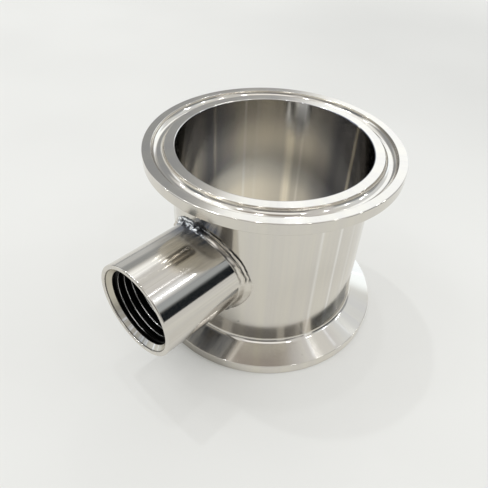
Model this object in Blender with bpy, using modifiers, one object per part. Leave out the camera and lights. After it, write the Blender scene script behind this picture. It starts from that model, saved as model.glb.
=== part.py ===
"""Sanitary clamp-end tee: a short run between two clamp ferrules, with a threaded side socket.

Metres, +Z up along the run. The lower clamp face stands on Z = 0 and the socket points along -Y.
The origin is the middle of the footprint, so the run axis stands a little behind it.
"""
import math

import bmesh
import bpy

# Run
RUN_LENGTH = 0.050
TUBE_DIAMETER = 0.0508
TUBE_WALL = 0.0012

# Clamp ferrules
FLANGE_PROJECTION = 0.0066
RIM_HEIGHT = 0.00285
CLAMP_TAPER = math.radians(20)
HUB_FILLET_RADIUS = 0.0015
HUB_LENGTH = 0.0023
INNER_LAND = 0.0025
GROOVE_WIDTH = 0.0031
GROOVE_DEPTH = 0.0015
FLANGE_EDGE_RADIUS = 0.0002

# Girth welds, ground flush with the tube
GIRTH_WELD_WIDTH = 0.0012

# Threaded socket, bored to the crests of its pipe thread
THREAD_BORE = 0.01863
SOCKET_WALL = 0.002685
SOCKET_REACH = 0.046
COUNTERSINK_DEPTH = 0.00175
COUNTERSINK_ANGLE = math.radians(41)
MOUTH_EDGE_RADIUS = 0.0003
SOCKET_EDGE_RADIUS = 0.00035

# Fillet weld round the socket
BEAD_LEG = 0.0016
BEAD_HOLLOW = 0.00015

# Fits
SEAT_GAP = 0.0003
CUT_ALLOWANCE = 0.002

# Fineness of round shapes
RUN_STEPS = 72
SOCKET_STEPS = 56
BEAD_STEPS = 96
BEAD_FACE_STEPS = 6
EDGE_STEPS = 3
FILLET_STEPS = 5
GROOVE_STEPS = 8
MERGE_DISTANCE = 1e-6
SHARP_ANGLE = math.radians(25)

# Sizes that follow
TUBE_RADIUS = TUBE_DIAMETER / 2
BORE_RADIUS = TUBE_RADIUS - TUBE_WALL
FLANGE_RADIUS = TUBE_RADIUS + FLANGE_PROJECTION
TAPER_HEIGHT = FLANGE_PROJECTION * math.tan(CLAMP_TAPER)
FILLET_TANGENT = HUB_FILLET_RADIUS * math.tan((math.pi / 2 - CLAMP_TAPER) / 2)
FERRULE_LENGTH = RIM_HEIGHT + TAPER_HEIGHT + FILLET_TANGENT + HUB_LENGTH
SOCKET_BORE_RADIUS = THREAD_BORE / 2
SOCKET_RADIUS = SOCKET_BORE_RADIUS + SOCKET_WALL
COUNTERSINK_RADIUS = SOCKET_BORE_RADIUS + COUNTERSINK_DEPTH * math.tan(COUNTERSINK_ANGLE)
SOCKET_HEIGHT = RUN_LENGTH / 2
RUN_AXIS_Y = (SOCKET_REACH - FLANGE_RADIUS) / 2

COLLECTION_NAME = "clamp_tee_fitting"
CUTTER_COLLECTION_NAME = "clamp_tee_cutters"


def clear_scene():
    """Remove every object, so the model starts from an empty scene."""
    for existing in list(bpy.data.objects):
        bpy.data.objects.remove(existing, do_unlink=True)


def new_collection(name):
    """Return an empty collection linked to the scene."""
    collection = bpy.data.collections.new(name)
    bpy.context.scene.collection.children.link(collection)
    return collection


def steel(name, colour, roughness):
    """Return a Principled steel of its own for one piece."""
    material = bpy.data.materials.new(name)
    material.use_nodes = True
    shader = material.node_tree.nodes["Principled BSDF"]
    shader.inputs["Base Color"].default_value = (*colour, 1.0)
    shader.inputs["Metallic"].default_value = 1.0
    shader.inputs["Roughness"].default_value = roughness
    return material


def arc(centre, radius, start_degrees, end_degrees, steps):
    """Return the points of an arc in the profile plane, both ends included."""
    points = []
    for step in range(steps + 1):
        angle = math.radians(start_degrees + (end_degrees - start_degrees) * step / steps)
        points.append((centre[0] + radius * math.cos(angle), centre[1] + radius * math.sin(angle)))
    return points


def baked_mesh(source):
    """Return the evaluated mesh of an object, with doubled points merged."""
    bpy.context.view_layer.update()
    depsgraph = bpy.context.evaluated_depsgraph_get()
    mesh = bpy.data.meshes.new_from_object(source.evaluated_get(depsgraph))
    bm = bmesh.new()
    bm.from_mesh(mesh)
    bmesh.ops.remove_doubles(bm, verts=bm.verts, dist=MERGE_DISTANCE)
    bm.to_mesh(mesh)
    bm.free()
    return mesh


def place(name, mesh, collection, parent, material):
    """Make a smooth-shaded object of a mesh and hang it on its axis empty."""
    mesh.name = name
    mesh.shade_smooth()
    mesh.set_sharp_from_angle(angle=SHARP_ANGLE)
    mesh.materials.append(material)
    placed = bpy.data.objects.new(name, mesh)
    placed.parent = parent
    collection.objects.link(placed)
    return placed


def turned_mesh(profile, steps):
    """Spin a closed profile of (radius, height) points about Z; its outer side runs downwards."""
    outline = bpy.data.meshes.new("profile")
    loop = [(index, (index + 1) % len(profile)) for index in range(len(profile))]
    outline.from_pydata([(radius, 0.0, height) for radius, height in profile], loop, [])
    spun = bpy.data.objects.new("profile", outline)
    bpy.context.scene.collection.objects.link(spun)
    screw = spun.modifiers.new("Turn", "SCREW")
    screw.steps = steps
    screw.render_steps = steps
    screw.use_merge_vertices = True
    screw.merge_threshold = MERGE_DISTANCE
    mesh = baked_mesh(spun)
    bpy.data.objects.remove(spun, do_unlink=True)
    return mesh


def cylinder_cutter(name, radius, start, end, steps, collection, parent):
    """Make a hidden cylinder along its parent's Z, from start to end."""
    bpy.ops.mesh.primitive_cylinder_add(vertices=steps, radius=radius, depth=end - start)
    cutter = bpy.context.object
    cutter.name = name
    cutter.location = (0.0, 0.0, (start + end) / 2)
    cutter.parent = parent
    for owner in list(cutter.users_collection):
        owner.objects.unlink(cutter)
    collection.objects.link(cutter)
    cutter.hide_render = True
    cutter.display_type = "WIRE"
    return cutter


def cut(piece, cutter):
    """Subtract a cutter from a piece."""
    boolean = piece.modifiers.new("Cut " + cutter.name, "BOOLEAN")
    boolean.operation = "DIFFERENCE"
    boolean.solver = "EXACT"
    boolean.object = cutter


def axis_empty(name, location, rotation, collection, parent=None):
    """Make an empty that carries the pieces of one axis."""
    empty = bpy.data.objects.new(name, None)
    empty.location = location
    empty.rotation_euler = rotation
    empty.parent = parent
    collection.objects.link(empty)
    return empty


def ring_profile(bottom, top):
    """Return the profile of a plain ring with the run's wall."""
    return [(TUBE_RADIUS, top), (TUBE_RADIUS, bottom), (BORE_RADIUS, bottom), (BORE_RADIUS, top)]


def ferrule_profile():
    """Return the profile of a clamp ferrule that stands on its sealing face."""
    edge = FLANGE_EDGE_RADIUS
    taper_degrees = math.degrees(CLAMP_TAPER)
    taper_foot = RIM_HEIGHT + TAPER_HEIGHT
    fillet_centre = (TUBE_RADIUS + HUB_FILLET_RADIUS, taper_foot + FILLET_TANGENT)
    rim_edge_tangent = edge * math.tan((math.pi / 2 - CLAMP_TAPER) / 2)
    rim_edge_centre = (FLANGE_RADIUS - edge, RIM_HEIGHT - rim_edge_tangent)
    groove_centre = BORE_RADIUS + INNER_LAND + GROOVE_WIDTH / 2
    groove_radius = (GROOVE_WIDTH ** 2 / 4 + GROOVE_DEPTH ** 2) / (2 * GROOVE_DEPTH)
    groove_axis = (groove_centre, GROOVE_DEPTH - groove_radius)
    groove_swing = math.degrees(math.atan2(GROOVE_WIDTH / 2, groove_radius - GROOVE_DEPTH))
    profile = [(BORE_RADIUS, FERRULE_LENGTH), (TUBE_RADIUS, FERRULE_LENGTH)]
    profile += arc(fillet_centre, HUB_FILLET_RADIUS, 180, 270 - taper_degrees, FILLET_STEPS)
    profile += arc(rim_edge_centre, edge, 90 - taper_degrees, 0, EDGE_STEPS)
    profile += arc((FLANGE_RADIUS - edge, edge), edge, 0, -90, EDGE_STEPS)
    profile += arc(groove_axis, groove_radius, 90 - groove_swing, 90 + groove_swing, GROOVE_STEPS)
    profile += arc((BORE_RADIUS + edge, edge), edge, 270, 180, EDGE_STEPS)
    return profile


def socket_profile():
    """Return the profile of the socket blank along the branch axis, long enough to be coped."""
    edge, mouth_edge = SOCKET_EDGE_RADIUS, MOUTH_EDGE_RADIUS
    coping_radius = TUBE_RADIUS + SEAT_GAP
    blank_start = math.sqrt(coping_radius ** 2 - SOCKET_RADIUS ** 2) - CUT_ALLOWANCE
    mouth_edge_centre = (COUNTERSINK_RADIUS + mouth_edge, SOCKET_REACH - mouth_edge)
    profile = arc(mouth_edge_centre, mouth_edge, 180, 90, EDGE_STEPS)
    profile += arc((SOCKET_RADIUS - edge, SOCKET_REACH - edge), edge, 90, 0, EDGE_STEPS)
    profile += [(SOCKET_RADIUS, blank_start), (SOCKET_BORE_RADIUS, blank_start)]
    profile.append((SOCKET_BORE_RADIUS, SOCKET_REACH - mouth_edge - COUNTERSINK_DEPTH))
    return profile


def saddle_point(angle, off_socket, off_tube):
    """Return a point beside the saddle line, at distances off the socket's and the tube's outsides."""
    radius = SOCKET_RADIUS + off_socket
    across = radius * math.cos(angle)
    along_run = radius * math.sin(angle)
    return across, along_run, math.sqrt((TUBE_RADIUS + off_tube) ** 2 - across ** 2)


def bead_profile():
    """Return the bead's section, off the socket and off the tube: two legs and a hollow face."""
    profile = [(SEAT_GAP, SEAT_GAP)]
    for step in range(BEAD_FACE_STEPS + 1):
        share = step / BEAD_FACE_STEPS
        sink = 4 * BEAD_HOLLOW * share * (1 - share)
        off_socket = BEAD_LEG + (SEAT_GAP - BEAD_LEG) * share - sink
        off_tube = SEAT_GAP + (BEAD_LEG - SEAT_GAP) * share - sink
        profile.append((off_socket, off_tube))
    return profile


def bead_mesh():
    """Return the bead, lofted along the saddle line and clear of the two walls that it joins."""
    profile = bead_profile()
    rows = len(profile)
    points = []
    faces = []
    for index in range(BEAD_STEPS):
        angle = 2 * math.pi * (index + 0.5) / BEAD_STEPS
        points += [saddle_point(angle, *offsets) for offsets in profile]
        here, beyond = index * rows, (index + 1) % BEAD_STEPS * rows
        for row in range(rows):
            above = (row + 1) % rows
            faces.append((here + row, beyond + row, beyond + above, here + above))
    mesh = bpy.data.meshes.new("bead")
    mesh.from_pydata(points, [], faces)
    return mesh


def build_run(parts, cutters, run_axis, branch_axis):
    """Build the run tube, its two ferrules and the girth welds between them."""
    tube_bottom = FERRULE_LENGTH + GIRTH_WELD_WIDTH
    tube_top = RUN_LENGTH - tube_bottom
    tube_steel = steel("run_tube_steel", (0.72, 0.71, 0.69), 0.12)
    tube = place("run_tube", turned_mesh(ring_profile(tube_bottom, tube_top), RUN_STEPS),
                 parts, run_axis, tube_steel)
    cut(tube, cylinder_cutter("branch_hole", SOCKET_BORE_RADIUS, 0.0, SOCKET_REACH, SOCKET_STEPS,
                              cutters, branch_axis))

    for end, face_height, turn in (("lower", 0.0, 0.0), ("upper", RUN_LENGTH, math.pi)):
        ferrule_steel = steel(end + "_ferrule_steel", (0.74, 0.73, 0.71), 0.10)
        ferrule = place(end + "_ferrule", turned_mesh(ferrule_profile(), RUN_STEPS),
                        parts, run_axis, ferrule_steel)
        weld_steel = steel(end + "_girth_weld_steel", (0.70, 0.69, 0.68), 0.15)
        weld = place(end + "_girth_weld", turned_mesh(ring_profile(FERRULE_LENGTH, tube_bottom), RUN_STEPS),
                     parts, run_axis, weld_steel)
        for piece in (ferrule, weld):
            piece.location = (0.0, 0.0, face_height)
            piece.rotation_euler = (turn, 0.0, 0.0)


def build_branch(parts, cutters, run_axis, branch_axis):
    """Build the threaded socket and the fillet weld that joins it to the run tube."""
    socket_steel = steel("branch_socket_steel", (0.73, 0.72, 0.70), 0.10)
    socket = place("branch_socket", turned_mesh(socket_profile(), SOCKET_STEPS),
                   parts, branch_axis, socket_steel)
    coping = cylinder_cutter("run_clearance", TUBE_RADIUS + SEAT_GAP, -RUN_LENGTH, RUN_LENGTH,
                             RUN_STEPS, cutters, run_axis)
    cut(socket, coping)

    bead_steel = steel("branch_weld_steel", (0.66, 0.65, 0.64), 0.25)
    place("branch_weld", bead_mesh(), parts, branch_axis, bead_steel)


def main():
    """Build the whole fitting."""
    clear_scene()
    parts = new_collection(COLLECTION_NAME)
    cutters = new_collection(CUTTER_COLLECTION_NAME)
    run_axis = axis_empty("run_axis", (0.0, RUN_AXIS_Y, 0.0), (0.0, 0.0, 0.0), parts)
    branch_axis = axis_empty("branch_axis", (0.0, 0.0, SOCKET_HEIGHT), (math.pi / 2, 0.0, 0.0),
                             parts, run_axis)
    build_run(parts, cutters, run_axis, branch_axis)
    build_branch(parts, cutters, run_axis, branch_axis)
    bpy.context.view_layer.update()


main()
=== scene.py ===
"""Looks of a polished stainless tee with two clamp ends and a threaded side socket.

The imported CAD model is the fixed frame. Each of its nodes is replaced, in the same place, by a finer piece:
turned ferrules and a tube with true surface normals, a socket with its pipe thread cut inside, and the
rippled weld bead round the saddle where the socket meets the tube.
"""

import logging
import math
from dataclasses import dataclass
from enum import Enum

import bmesh
import bpy
import numpy as np
from bpy.types import Material, Mesh, Node, NodeSocket, NodeTree, Object
from mathutils import Matrix, Vector


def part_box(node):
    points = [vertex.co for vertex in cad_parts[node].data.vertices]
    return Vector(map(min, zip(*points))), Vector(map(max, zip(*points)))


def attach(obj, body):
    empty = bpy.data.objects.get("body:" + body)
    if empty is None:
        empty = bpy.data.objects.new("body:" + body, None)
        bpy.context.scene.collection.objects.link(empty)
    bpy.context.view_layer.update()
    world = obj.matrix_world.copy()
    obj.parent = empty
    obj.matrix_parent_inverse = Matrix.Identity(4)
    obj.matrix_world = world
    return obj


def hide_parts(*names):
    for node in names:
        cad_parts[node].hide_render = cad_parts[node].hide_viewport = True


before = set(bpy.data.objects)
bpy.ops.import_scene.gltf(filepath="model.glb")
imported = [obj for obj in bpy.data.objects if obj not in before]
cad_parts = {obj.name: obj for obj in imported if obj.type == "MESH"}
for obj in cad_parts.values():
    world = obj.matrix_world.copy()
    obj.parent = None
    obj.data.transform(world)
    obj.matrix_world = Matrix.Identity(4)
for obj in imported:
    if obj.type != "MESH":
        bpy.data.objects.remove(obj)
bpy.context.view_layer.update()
UV_NAME = "turning"
UV_PER_METRE = 10.0
NORMAL_NAME = "turned_normal"
CUT_NAME = "cut_face"
WELD_SHADE_NAME = "weld_painted_shade"
RAW_NAME = "weld_raw"
GROUND_NAME = "weld_ground"
SAME_PLACE = 1e-6

Colour = tuple[float, float, float]
Place = tuple[float, float, float]

log = logging.getLogger("tee_fitting")


@dataclass(frozen=True)
class Fade:
    """A smooth change of a number: the result is start up to low, and end from high on."""

    low: float
    high: float
    start: float = 0.0
    end: float = 1.0


@dataclass(frozen=True)
class Patches:
    """Soft patches of noise: how fine the noise is, how it is mapped and how much detail it has."""

    scale: float
    fade: Fade
    detail: float = 2.0


class Graph:
    """Adds nodes to one node tree and joins their sockets."""

    NUMBER_RESULTS = ("LENGTH", "DISTANCE")
    MIX_INPUTS = (0, 6, 7)
    MIX_RESULT = 2

    def __init__(self, tree: NodeTree) -> None:
        """Keep the tree that nodes are added to."""
        self.tree = tree

    def feed(self, socket: NodeSocket, value: object) -> None:
        """Link an input to another socket, or set its constant.

        Args:
            socket: the input.
            value: a socket to link from, or the constant.
        """
        if isinstance(value, NodeSocket):
            self.tree.links.new(value, socket)
        else:
            socket.default_value = value

    def add(self, kind: str, inputs: dict | None = None, **settings: object) -> Node:
        """Add a node.

        Args:
            kind: Blender's type name of the node.
            inputs: sockets or constants, by the input's name or number.
            settings: the node's own properties.

        Returns:
            The new node.
        """
        node = self.tree.nodes.new(kind)
        for name, value in settings.items():
            setattr(node, name, value)
        for key, value in (inputs or {}).items():
            self.feed(node.inputs[key], value)
        return node

    def use(self, group: NodeTree, inputs: dict) -> bpy.types.NodeOutputs:
        """Place a shader group with its own values and return its outputs."""
        return self.add("ShaderNodeGroup", inputs, node_tree=group).outputs

    def math(self, operation: str, *values: object) -> NodeSocket:
        """Add a Math node and return its result."""
        return self.add("ShaderNodeMath", dict(enumerate(values)), operation=operation).outputs[0]

    def plus(self, first: object, second: object) -> NodeSocket:
        """Return the sum of two numbers."""
        return self.math("ADD", first, second)

    def minus(self, first: object, second: object) -> NodeSocket:
        """Return the first number less the second."""
        return self.math("SUBTRACT", first, second)

    def times(self, first: object, second: object) -> NodeSocket:
        """Return the product of two numbers."""
        return self.math("MULTIPLY", first, second)

    def over(self, first: object, second: object) -> NodeSocket:
        """Return the first number divided by the second."""
        return self.math("DIVIDE", first, second)

    def most(self, first: object, second: object) -> NodeSocket:
        """Return the larger of two numbers."""
        return self.math("MAXIMUM", first, second)

    def apart(self, first: object, second: object) -> NodeSocket:
        """Return how far two numbers lie apart."""
        return self.math("ABSOLUTE", self.minus(first, second))

    def vector(self, operation: str, *values: object) -> NodeSocket:
        """Add a Vector Math node and return its vector, or its number where it makes one."""
        node = self.add("ShaderNodeVectorMath", dict(enumerate(values)), operation=operation)
        return node.outputs["Value" if operation in self.NUMBER_RESULTS else "Vector"]

    def scale(self, vector: object, factor: object) -> NodeSocket:
        """Return a vector made longer by a factor."""
        inputs = {0: vector, "Scale": factor}
        return self.add("ShaderNodeVectorMath", inputs, operation="SCALE").outputs["Vector"]

    def split(self, vector: object) -> tuple[NodeSocket, ...]:
        """Return the X, Y and Z of a vector."""
        return tuple(self.add("ShaderNodeSeparateXYZ", {0: vector}).outputs)

    def join(self, x: object, y: object, z: object) -> NodeSocket:
        """Return the vector made of three numbers."""
        return self.add("ShaderNodeCombineXYZ", {0: x, 1: y, 2: z}).outputs[0]

    def ease(self, value: object, low: object, high: object, start: object = 0.0,
             end: object = 1.0) -> NodeSocket:
        """Map a value smoothly.

        Args:
            value: the number to map.
            low: value that gives start.
            high: value that gives end.
            start: result at and below low.
            end: result at and above high.

        Returns:
            The mapped number.
        """
        inputs = {"Value": value, "From Min": low, "From Max": high, "To Min": start, "To Max": end}
        node = self.add("ShaderNodeMapRange", inputs, interpolation_type="SMOOTHSTEP", clamp=True)
        return node.outputs["Result"]

    def fade(self, value: object, fade: Fade) -> NodeSocket:
        """Map a value by a named change."""
        return self.ease(value, fade.low, fade.high, fade.start, fade.end)

    def blend(self, share: object, start: object, end: object) -> NodeSocket:
        """Blend two numbers by a share from 0 to 1."""
        return self.ease(share, 0.0, 1.0, start, end)

    def noise(self, vector: object, scale: float, detail: float = 2.0) -> NodeSocket:
        """Return three-dimensional noise between 0 and 1 at a place."""
        inputs = {"Vector": vector, "Scale": scale, "Detail": detail}
        return self.add("ShaderNodeTexNoise", inputs).outputs[0]

    def patches(self, vector: object, patches: Patches) -> NodeSocket:
        """Return soft patches at a place."""
        return self.fade(self.noise(vector, patches.scale, patches.detail), patches.fade)

    def mix_colour(self, factor: object, first: object, second: object) -> NodeSocket:
        """Blend two colours.

        Args:
            factor: share of the second colour.
            first: a socket, or red, green and blue.
            second: a socket, or red, green and blue.

        Returns:
            The blended colour.
        """
        node = self.add("ShaderNodeMix", data_type="RGBA")
        for number, value in zip(self.MIX_INPUTS, (factor, first, second)):
            self.feed(node.inputs[number], (*value, 1.0) if isinstance(value, tuple) else value)
        return node.outputs[self.MIX_RESULT]


@dataclass(frozen=True)
class Corner:
    """One corner of a turned half section, measured from the turning axis.

    rounding is the edge or fillet radius at the corner, and steps is how many facets lead to the next
    corner. cut marks the facets that follow as rough cut instead of polished.
    """

    radius: float
    height: float
    rounding: float = 0.0
    steps: int = 1
    cut: bool = False


class Section:
    """A closed half section, walked with the metal on the left, with the true normal at every station."""

    ARC_STEP = math.radians(7.0)
    LEAST_ARC_STEPS = 3

    def __init__(self, corners: list[Corner]) -> None:
        """Draw the outline through rounded corners.

        Args:
            corners: the outline's corners in order.
        """
        self.points: list[Vector] = []
        self.before: list[Vector] = []
        self.after: list[Vector] = []
        self.cut: list[bool] = []
        count = len(corners)
        flat = [Vector((corner.radius, corner.height)) for corner in corners]
        for index, corner in enumerate(corners):
            following = (index + 1) % count
            here = flat[index]
            start = (flat[index - 1] - here).normalized()
            end = (flat[following] - here).normalized()
            self._round(corner, here, start, end, corners[index - 1].cut)
            self._divide(corner, here, flat[following], corners[following])

    @staticmethod
    def _outward(direction: Vector) -> Vector:
        """Return the normal on the right of a walking direction."""
        return Vector((direction.y, -direction.x))

    def _station(self, point: Vector, before: Vector, after: Vector, cut: bool) -> None:
        """Add one point to the outline.

        Args:
            point: its place in the section.
            before: normal of the facet that leads to it.
            after: normal of the facet that follows.
            cut: True if the facet that follows is rough cut.
        """
        self.points.append(point)
        self.before.append(before)
        self.after.append(after)
        self.cut.append(cut)

    def _round(self, corner: Corner, here: Vector, start: Vector, end: Vector, came_cut: bool) -> None:
        """Add a corner's arc, or its one point where it is sharp.

        Args:
            corner: the corner to draw.
            here: its place in the section.
            start: direction from the corner back to the one before.
            end: direction from the corner on to the next one.
            came_cut: True if the facets that lead here are rough cut.
        """
        first, last = self._outward(-start), self._outward(end)
        if corner.rounding == 0.0:
            self._station(here, first, last, corner.cut)
            return
        half = start.angle(end) / 2.0
        centre = here + (start + end).normalized() * (corner.rounding / math.sin(half))
        turn = math.pi - 2.0 * half
        steps = max(self.LEAST_ARC_STEPS, math.ceil(turn / self.ARC_STEP))
        way = 1.0 if (-start).cross(end) > 0.0 else -1.0
        for step in range(steps + 1):
            angle = way * turn * step / steps
            normal = Vector((first.x * math.cos(angle) - first.y * math.sin(angle),
                             first.x * math.sin(angle) + first.y * math.cos(angle)))
            is_cut = corner.cut if step == steps else (corner.cut and came_cut)
            self._station(centre + normal * (way * corner.rounding), normal, normal, is_cut)

    def _divide(self, corner: Corner, here: Vector, there: Vector, following: Corner) -> None:
        """Add the stations between two corners.

        Args:
            corner: the corner that the line leaves.
            here: its place.
            there: the next corner's place.
            following: the next corner.
        """
        first = self.points[-1]
        last = there + (here - there).normalized() * following.rounding
        normal = self._outward((there - here).normalized())
        for step in range(1, corner.steps):
            self._station(first.lerp(last, step / corner.steps), normal, normal, corner.cut)


@dataclass(frozen=True)
class TurningAxis:
    """Centre line of a turned piece: where it starts, which way it runs and where its angles start."""

    origin: Vector
    along: Vector
    zero: Vector

    def spread(self, radial: np.ndarray, axial: np.ndarray, angle: np.ndarray) -> np.ndarray:
        """Turn section directions into space.

        Args:
            radial: parts along the radius.
            axial: parts along the axis.
            angle: angles about the axis.

        Returns:
            One row of three numbers for each direction.
        """
        quarter = np.array(self.along.cross(self.zero))
        across = np.cos(angle)[:, None] * np.array(self.zero) + np.sin(angle)[:, None] * quarter
        return radial[:, None] * across + axial[:, None] * np.array(self.along)

    def turn(self, name: str, section: Section, steps: int) -> Object:
        """Turn a section into a closed ring with its normals, its map and its cut faces stored.

        Args:
            name: name of the new piece.
            section: half section to turn.
            steps: facets round the axis.

        Returns:
            The new object, at the origin with its place in its mesh.
        """
        points = np.array(section.points)
        rows = len(points)
        row, column = np.divmod(np.arange(rows * steps), steps)
        places = self.spread(points[row, 0], points[row, 1], column * math.tau / steps)
        places += np.array(self.origin)

        next_row = (row + 1) % rows
        next_column = (column + 1) % steps
        quads = np.stack([row * steps + column, row * steps + next_column,
                          next_row * steps + next_column, next_row * steps + column], axis=1)
        mesh = bpy.data.meshes.new(name)
        mesh.from_pydata(places.tolist(), [], quads.tolist())

        after, before = np.array(section.after), np.array(section.before)
        normals = np.stack([after[row], after[row], before[next_row], before[next_row]], axis=1)
        turns = np.stack([column, column + 1, column + 1, column], axis=1) / steps
        flat = normals.reshape(-1, 2)
        directions = self.spread(flat[:, 0], flat[:, 1], turns.ravel() * math.tau)
        stored = mesh.attributes.new(NORMAL_NAME, "FLOAT_VECTOR", "CORNER")
        stored.data.foreach_set("vector", directions.ravel())

        lengths = np.linalg.norm(np.roll(points, -1, axis=0) - points, axis=1)
        ends = np.cumsum(lengths)
        starts = ends - lengths
        run = np.stack([starts[row], starts[row], ends[row], ends[row]], axis=1) * UV_PER_METRE
        layer = mesh.uv_layers.new(name=UV_NAME)
        layer.uv.foreach_set("vector", np.stack([run, turns], axis=2).ravel())
        marks = mesh.attributes.new(CUT_NAME, "BOOLEAN", "FACE")
        marks.data.foreach_set("value", np.array(section.cut)[row])
        return add_piece(name, mesh)


def add_piece(name: str, mesh: Mesh) -> Object:
    """Put a mesh in the scene as an object at the origin.

    Args:
        name: name of the piece.
        mesh: its mesh, already in place.

    Returns:
        The new object.
    """
    piece = bpy.data.objects.new(name, mesh)
    bpy.context.scene.collection.objects.link(piece)
    return piece


def settle(piece: Object) -> None:
    """Make a piece's evaluated shape its plain mesh and remove the modifiers.

    Args:
        piece: object with live modifiers.
    """
    graph = bpy.context.evaluated_depsgraph_get()
    mesh = bpy.data.meshes.new_from_object(piece.evaluated_get(graph), depsgraph=graph)
    piece.modifiers.clear()
    blank = piece.data
    piece.data = mesh
    bpy.data.meshes.remove(blank)
    mesh.name = piece.name


def smooth(mesh: Mesh, normals: np.ndarray | None = None) -> None:
    """Shade a mesh smooth.

    Args:
        mesh: the mesh to shade.
        normals: one normal for each corner, or None to use the mesh's own shape.
    """
    mesh.polygons.foreach_set("use_smooth", np.ones(len(mesh.polygons), dtype=bool))
    if normals is not None:
        mesh.normals_split_custom_set(normals.tolist())
    mesh.update()


def corner_vectors(mesh: Mesh, name: str) -> np.ndarray:
    """Read a stored corner attribute.

    Args:
        mesh: the mesh that carries it.
        name: the attribute's name.

    Returns:
        One row of three numbers for each corner.
    """
    values = np.empty(len(mesh.loops) * 3, dtype=np.float32)
    mesh.attributes[name].data.foreach_get("vector", values)
    return values.reshape(-1, 3)


def drop_notes(mesh: Mesh) -> None:
    """Remove the attributes that only the making needed.

    Args:
        mesh: the finished mesh.
    """
    for name in (NORMAL_NAME, CUT_NAME):
        if name in mesh.attributes:
            mesh.attributes.remove(mesh.attributes[name])


def run_nodes(piece: Object, tree: NodeTree, values: dict[str, object]) -> None:
    """Run a Geometry Nodes tree on a piece and keep the result as a plain mesh.

    Args:
        piece: object that carries the tree.
        tree: the tree to run.
        values: value for each named input.
    """
    modifier = piece.modifiers.new(tree.name, "NODES")
    modifier.node_group = tree
    for item in tree.interface.items_tree:
        if item.in_out == "INPUT" and item.name in values:
            modifier[item.identifier] = values[item.name]
    settle(piece)


def new_tree(name: str, kind: str, inputs: dict[str, str], outputs: dict[str, str]) -> NodeTree:
    """Make an empty node group with named sockets.

    Args:
        name: name of the group.
        kind: Blender's type name of the tree.
        inputs: socket type by input name.
        outputs: socket type by output name.

    Returns:
        The new group.
    """
    tree = bpy.data.node_groups.new(name, kind)
    for way, sockets in (("INPUT", inputs), ("OUTPUT", outputs)):
        for label, socket in sockets.items():
            tree.interface.new_socket(label, in_out=way, socket_type=f"NodeSocket{socket}")
    return tree


class RunEnd(Enum):
    """The two ends of the run."""

    LOWER = "lower"
    UPPER = "upper"


@dataclass(frozen=True)
class FrameSizes:
    """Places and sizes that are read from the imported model, in metres."""

    run_y: float
    run_length: float
    tube_radius: float
    flange_radius: float
    ferrule_length: float
    weld_width: float
    socket_height: float
    socket_radius: float
    socket_reach: float

    @classmethod
    def measure(cls) -> "FrameSizes":
        """Read the sizes from the boxes of the CAD nodes.

        Returns:
            The sizes.
        """
        tube_low, tube_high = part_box("run_tube")
        flange_low, flange_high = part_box("lower_ferrule")
        weld_low, weld_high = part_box("lower_girth_weld")
        socket_low, socket_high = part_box("branch_socket")
        run_y = (flange_low.y + flange_high.y) / 2.0
        return cls(
            run_y=run_y,
            run_length=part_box("upper_ferrule")[1].z,
            tube_radius=(tube_high.x - tube_low.x) / 2.0,
            flange_radius=(flange_high.x - flange_low.x) / 2.0,
            ferrule_length=flange_high.z,
            weld_width=weld_high.z - weld_low.z,
            socket_height=(socket_low.z + socket_high.z) / 2.0,
            socket_radius=(socket_high.x - socket_low.x) / 2.0,
            socket_reach=run_y - socket_low.y,
        )

    def run_axis(self, end: RunEnd) -> TurningAxis:
        """Find the run's centre line.

        Args:
            end: clamp face where it starts, to run inwards.

        Returns:
            The centre line.
        """
        height, way = (0.0, 1.0) if end is RunEnd.LOWER else (self.run_length, -1.0)
        start = Vector((0.0, self.run_y, height))
        return TurningAxis(start, Vector((0.0, 0.0, way)), Vector((0.0, 1.0, 0.0)))

    def branch_axis(self) -> TurningAxis:
        """Return the branch's centre line, from the run axis out of the socket."""
        start = Vector((0.0, self.run_y, self.socket_height))
        return TurningAxis(start, Vector((0.0, -1.0, 0.0)), Vector((1.0, 0.0, 0.0)))


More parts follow.
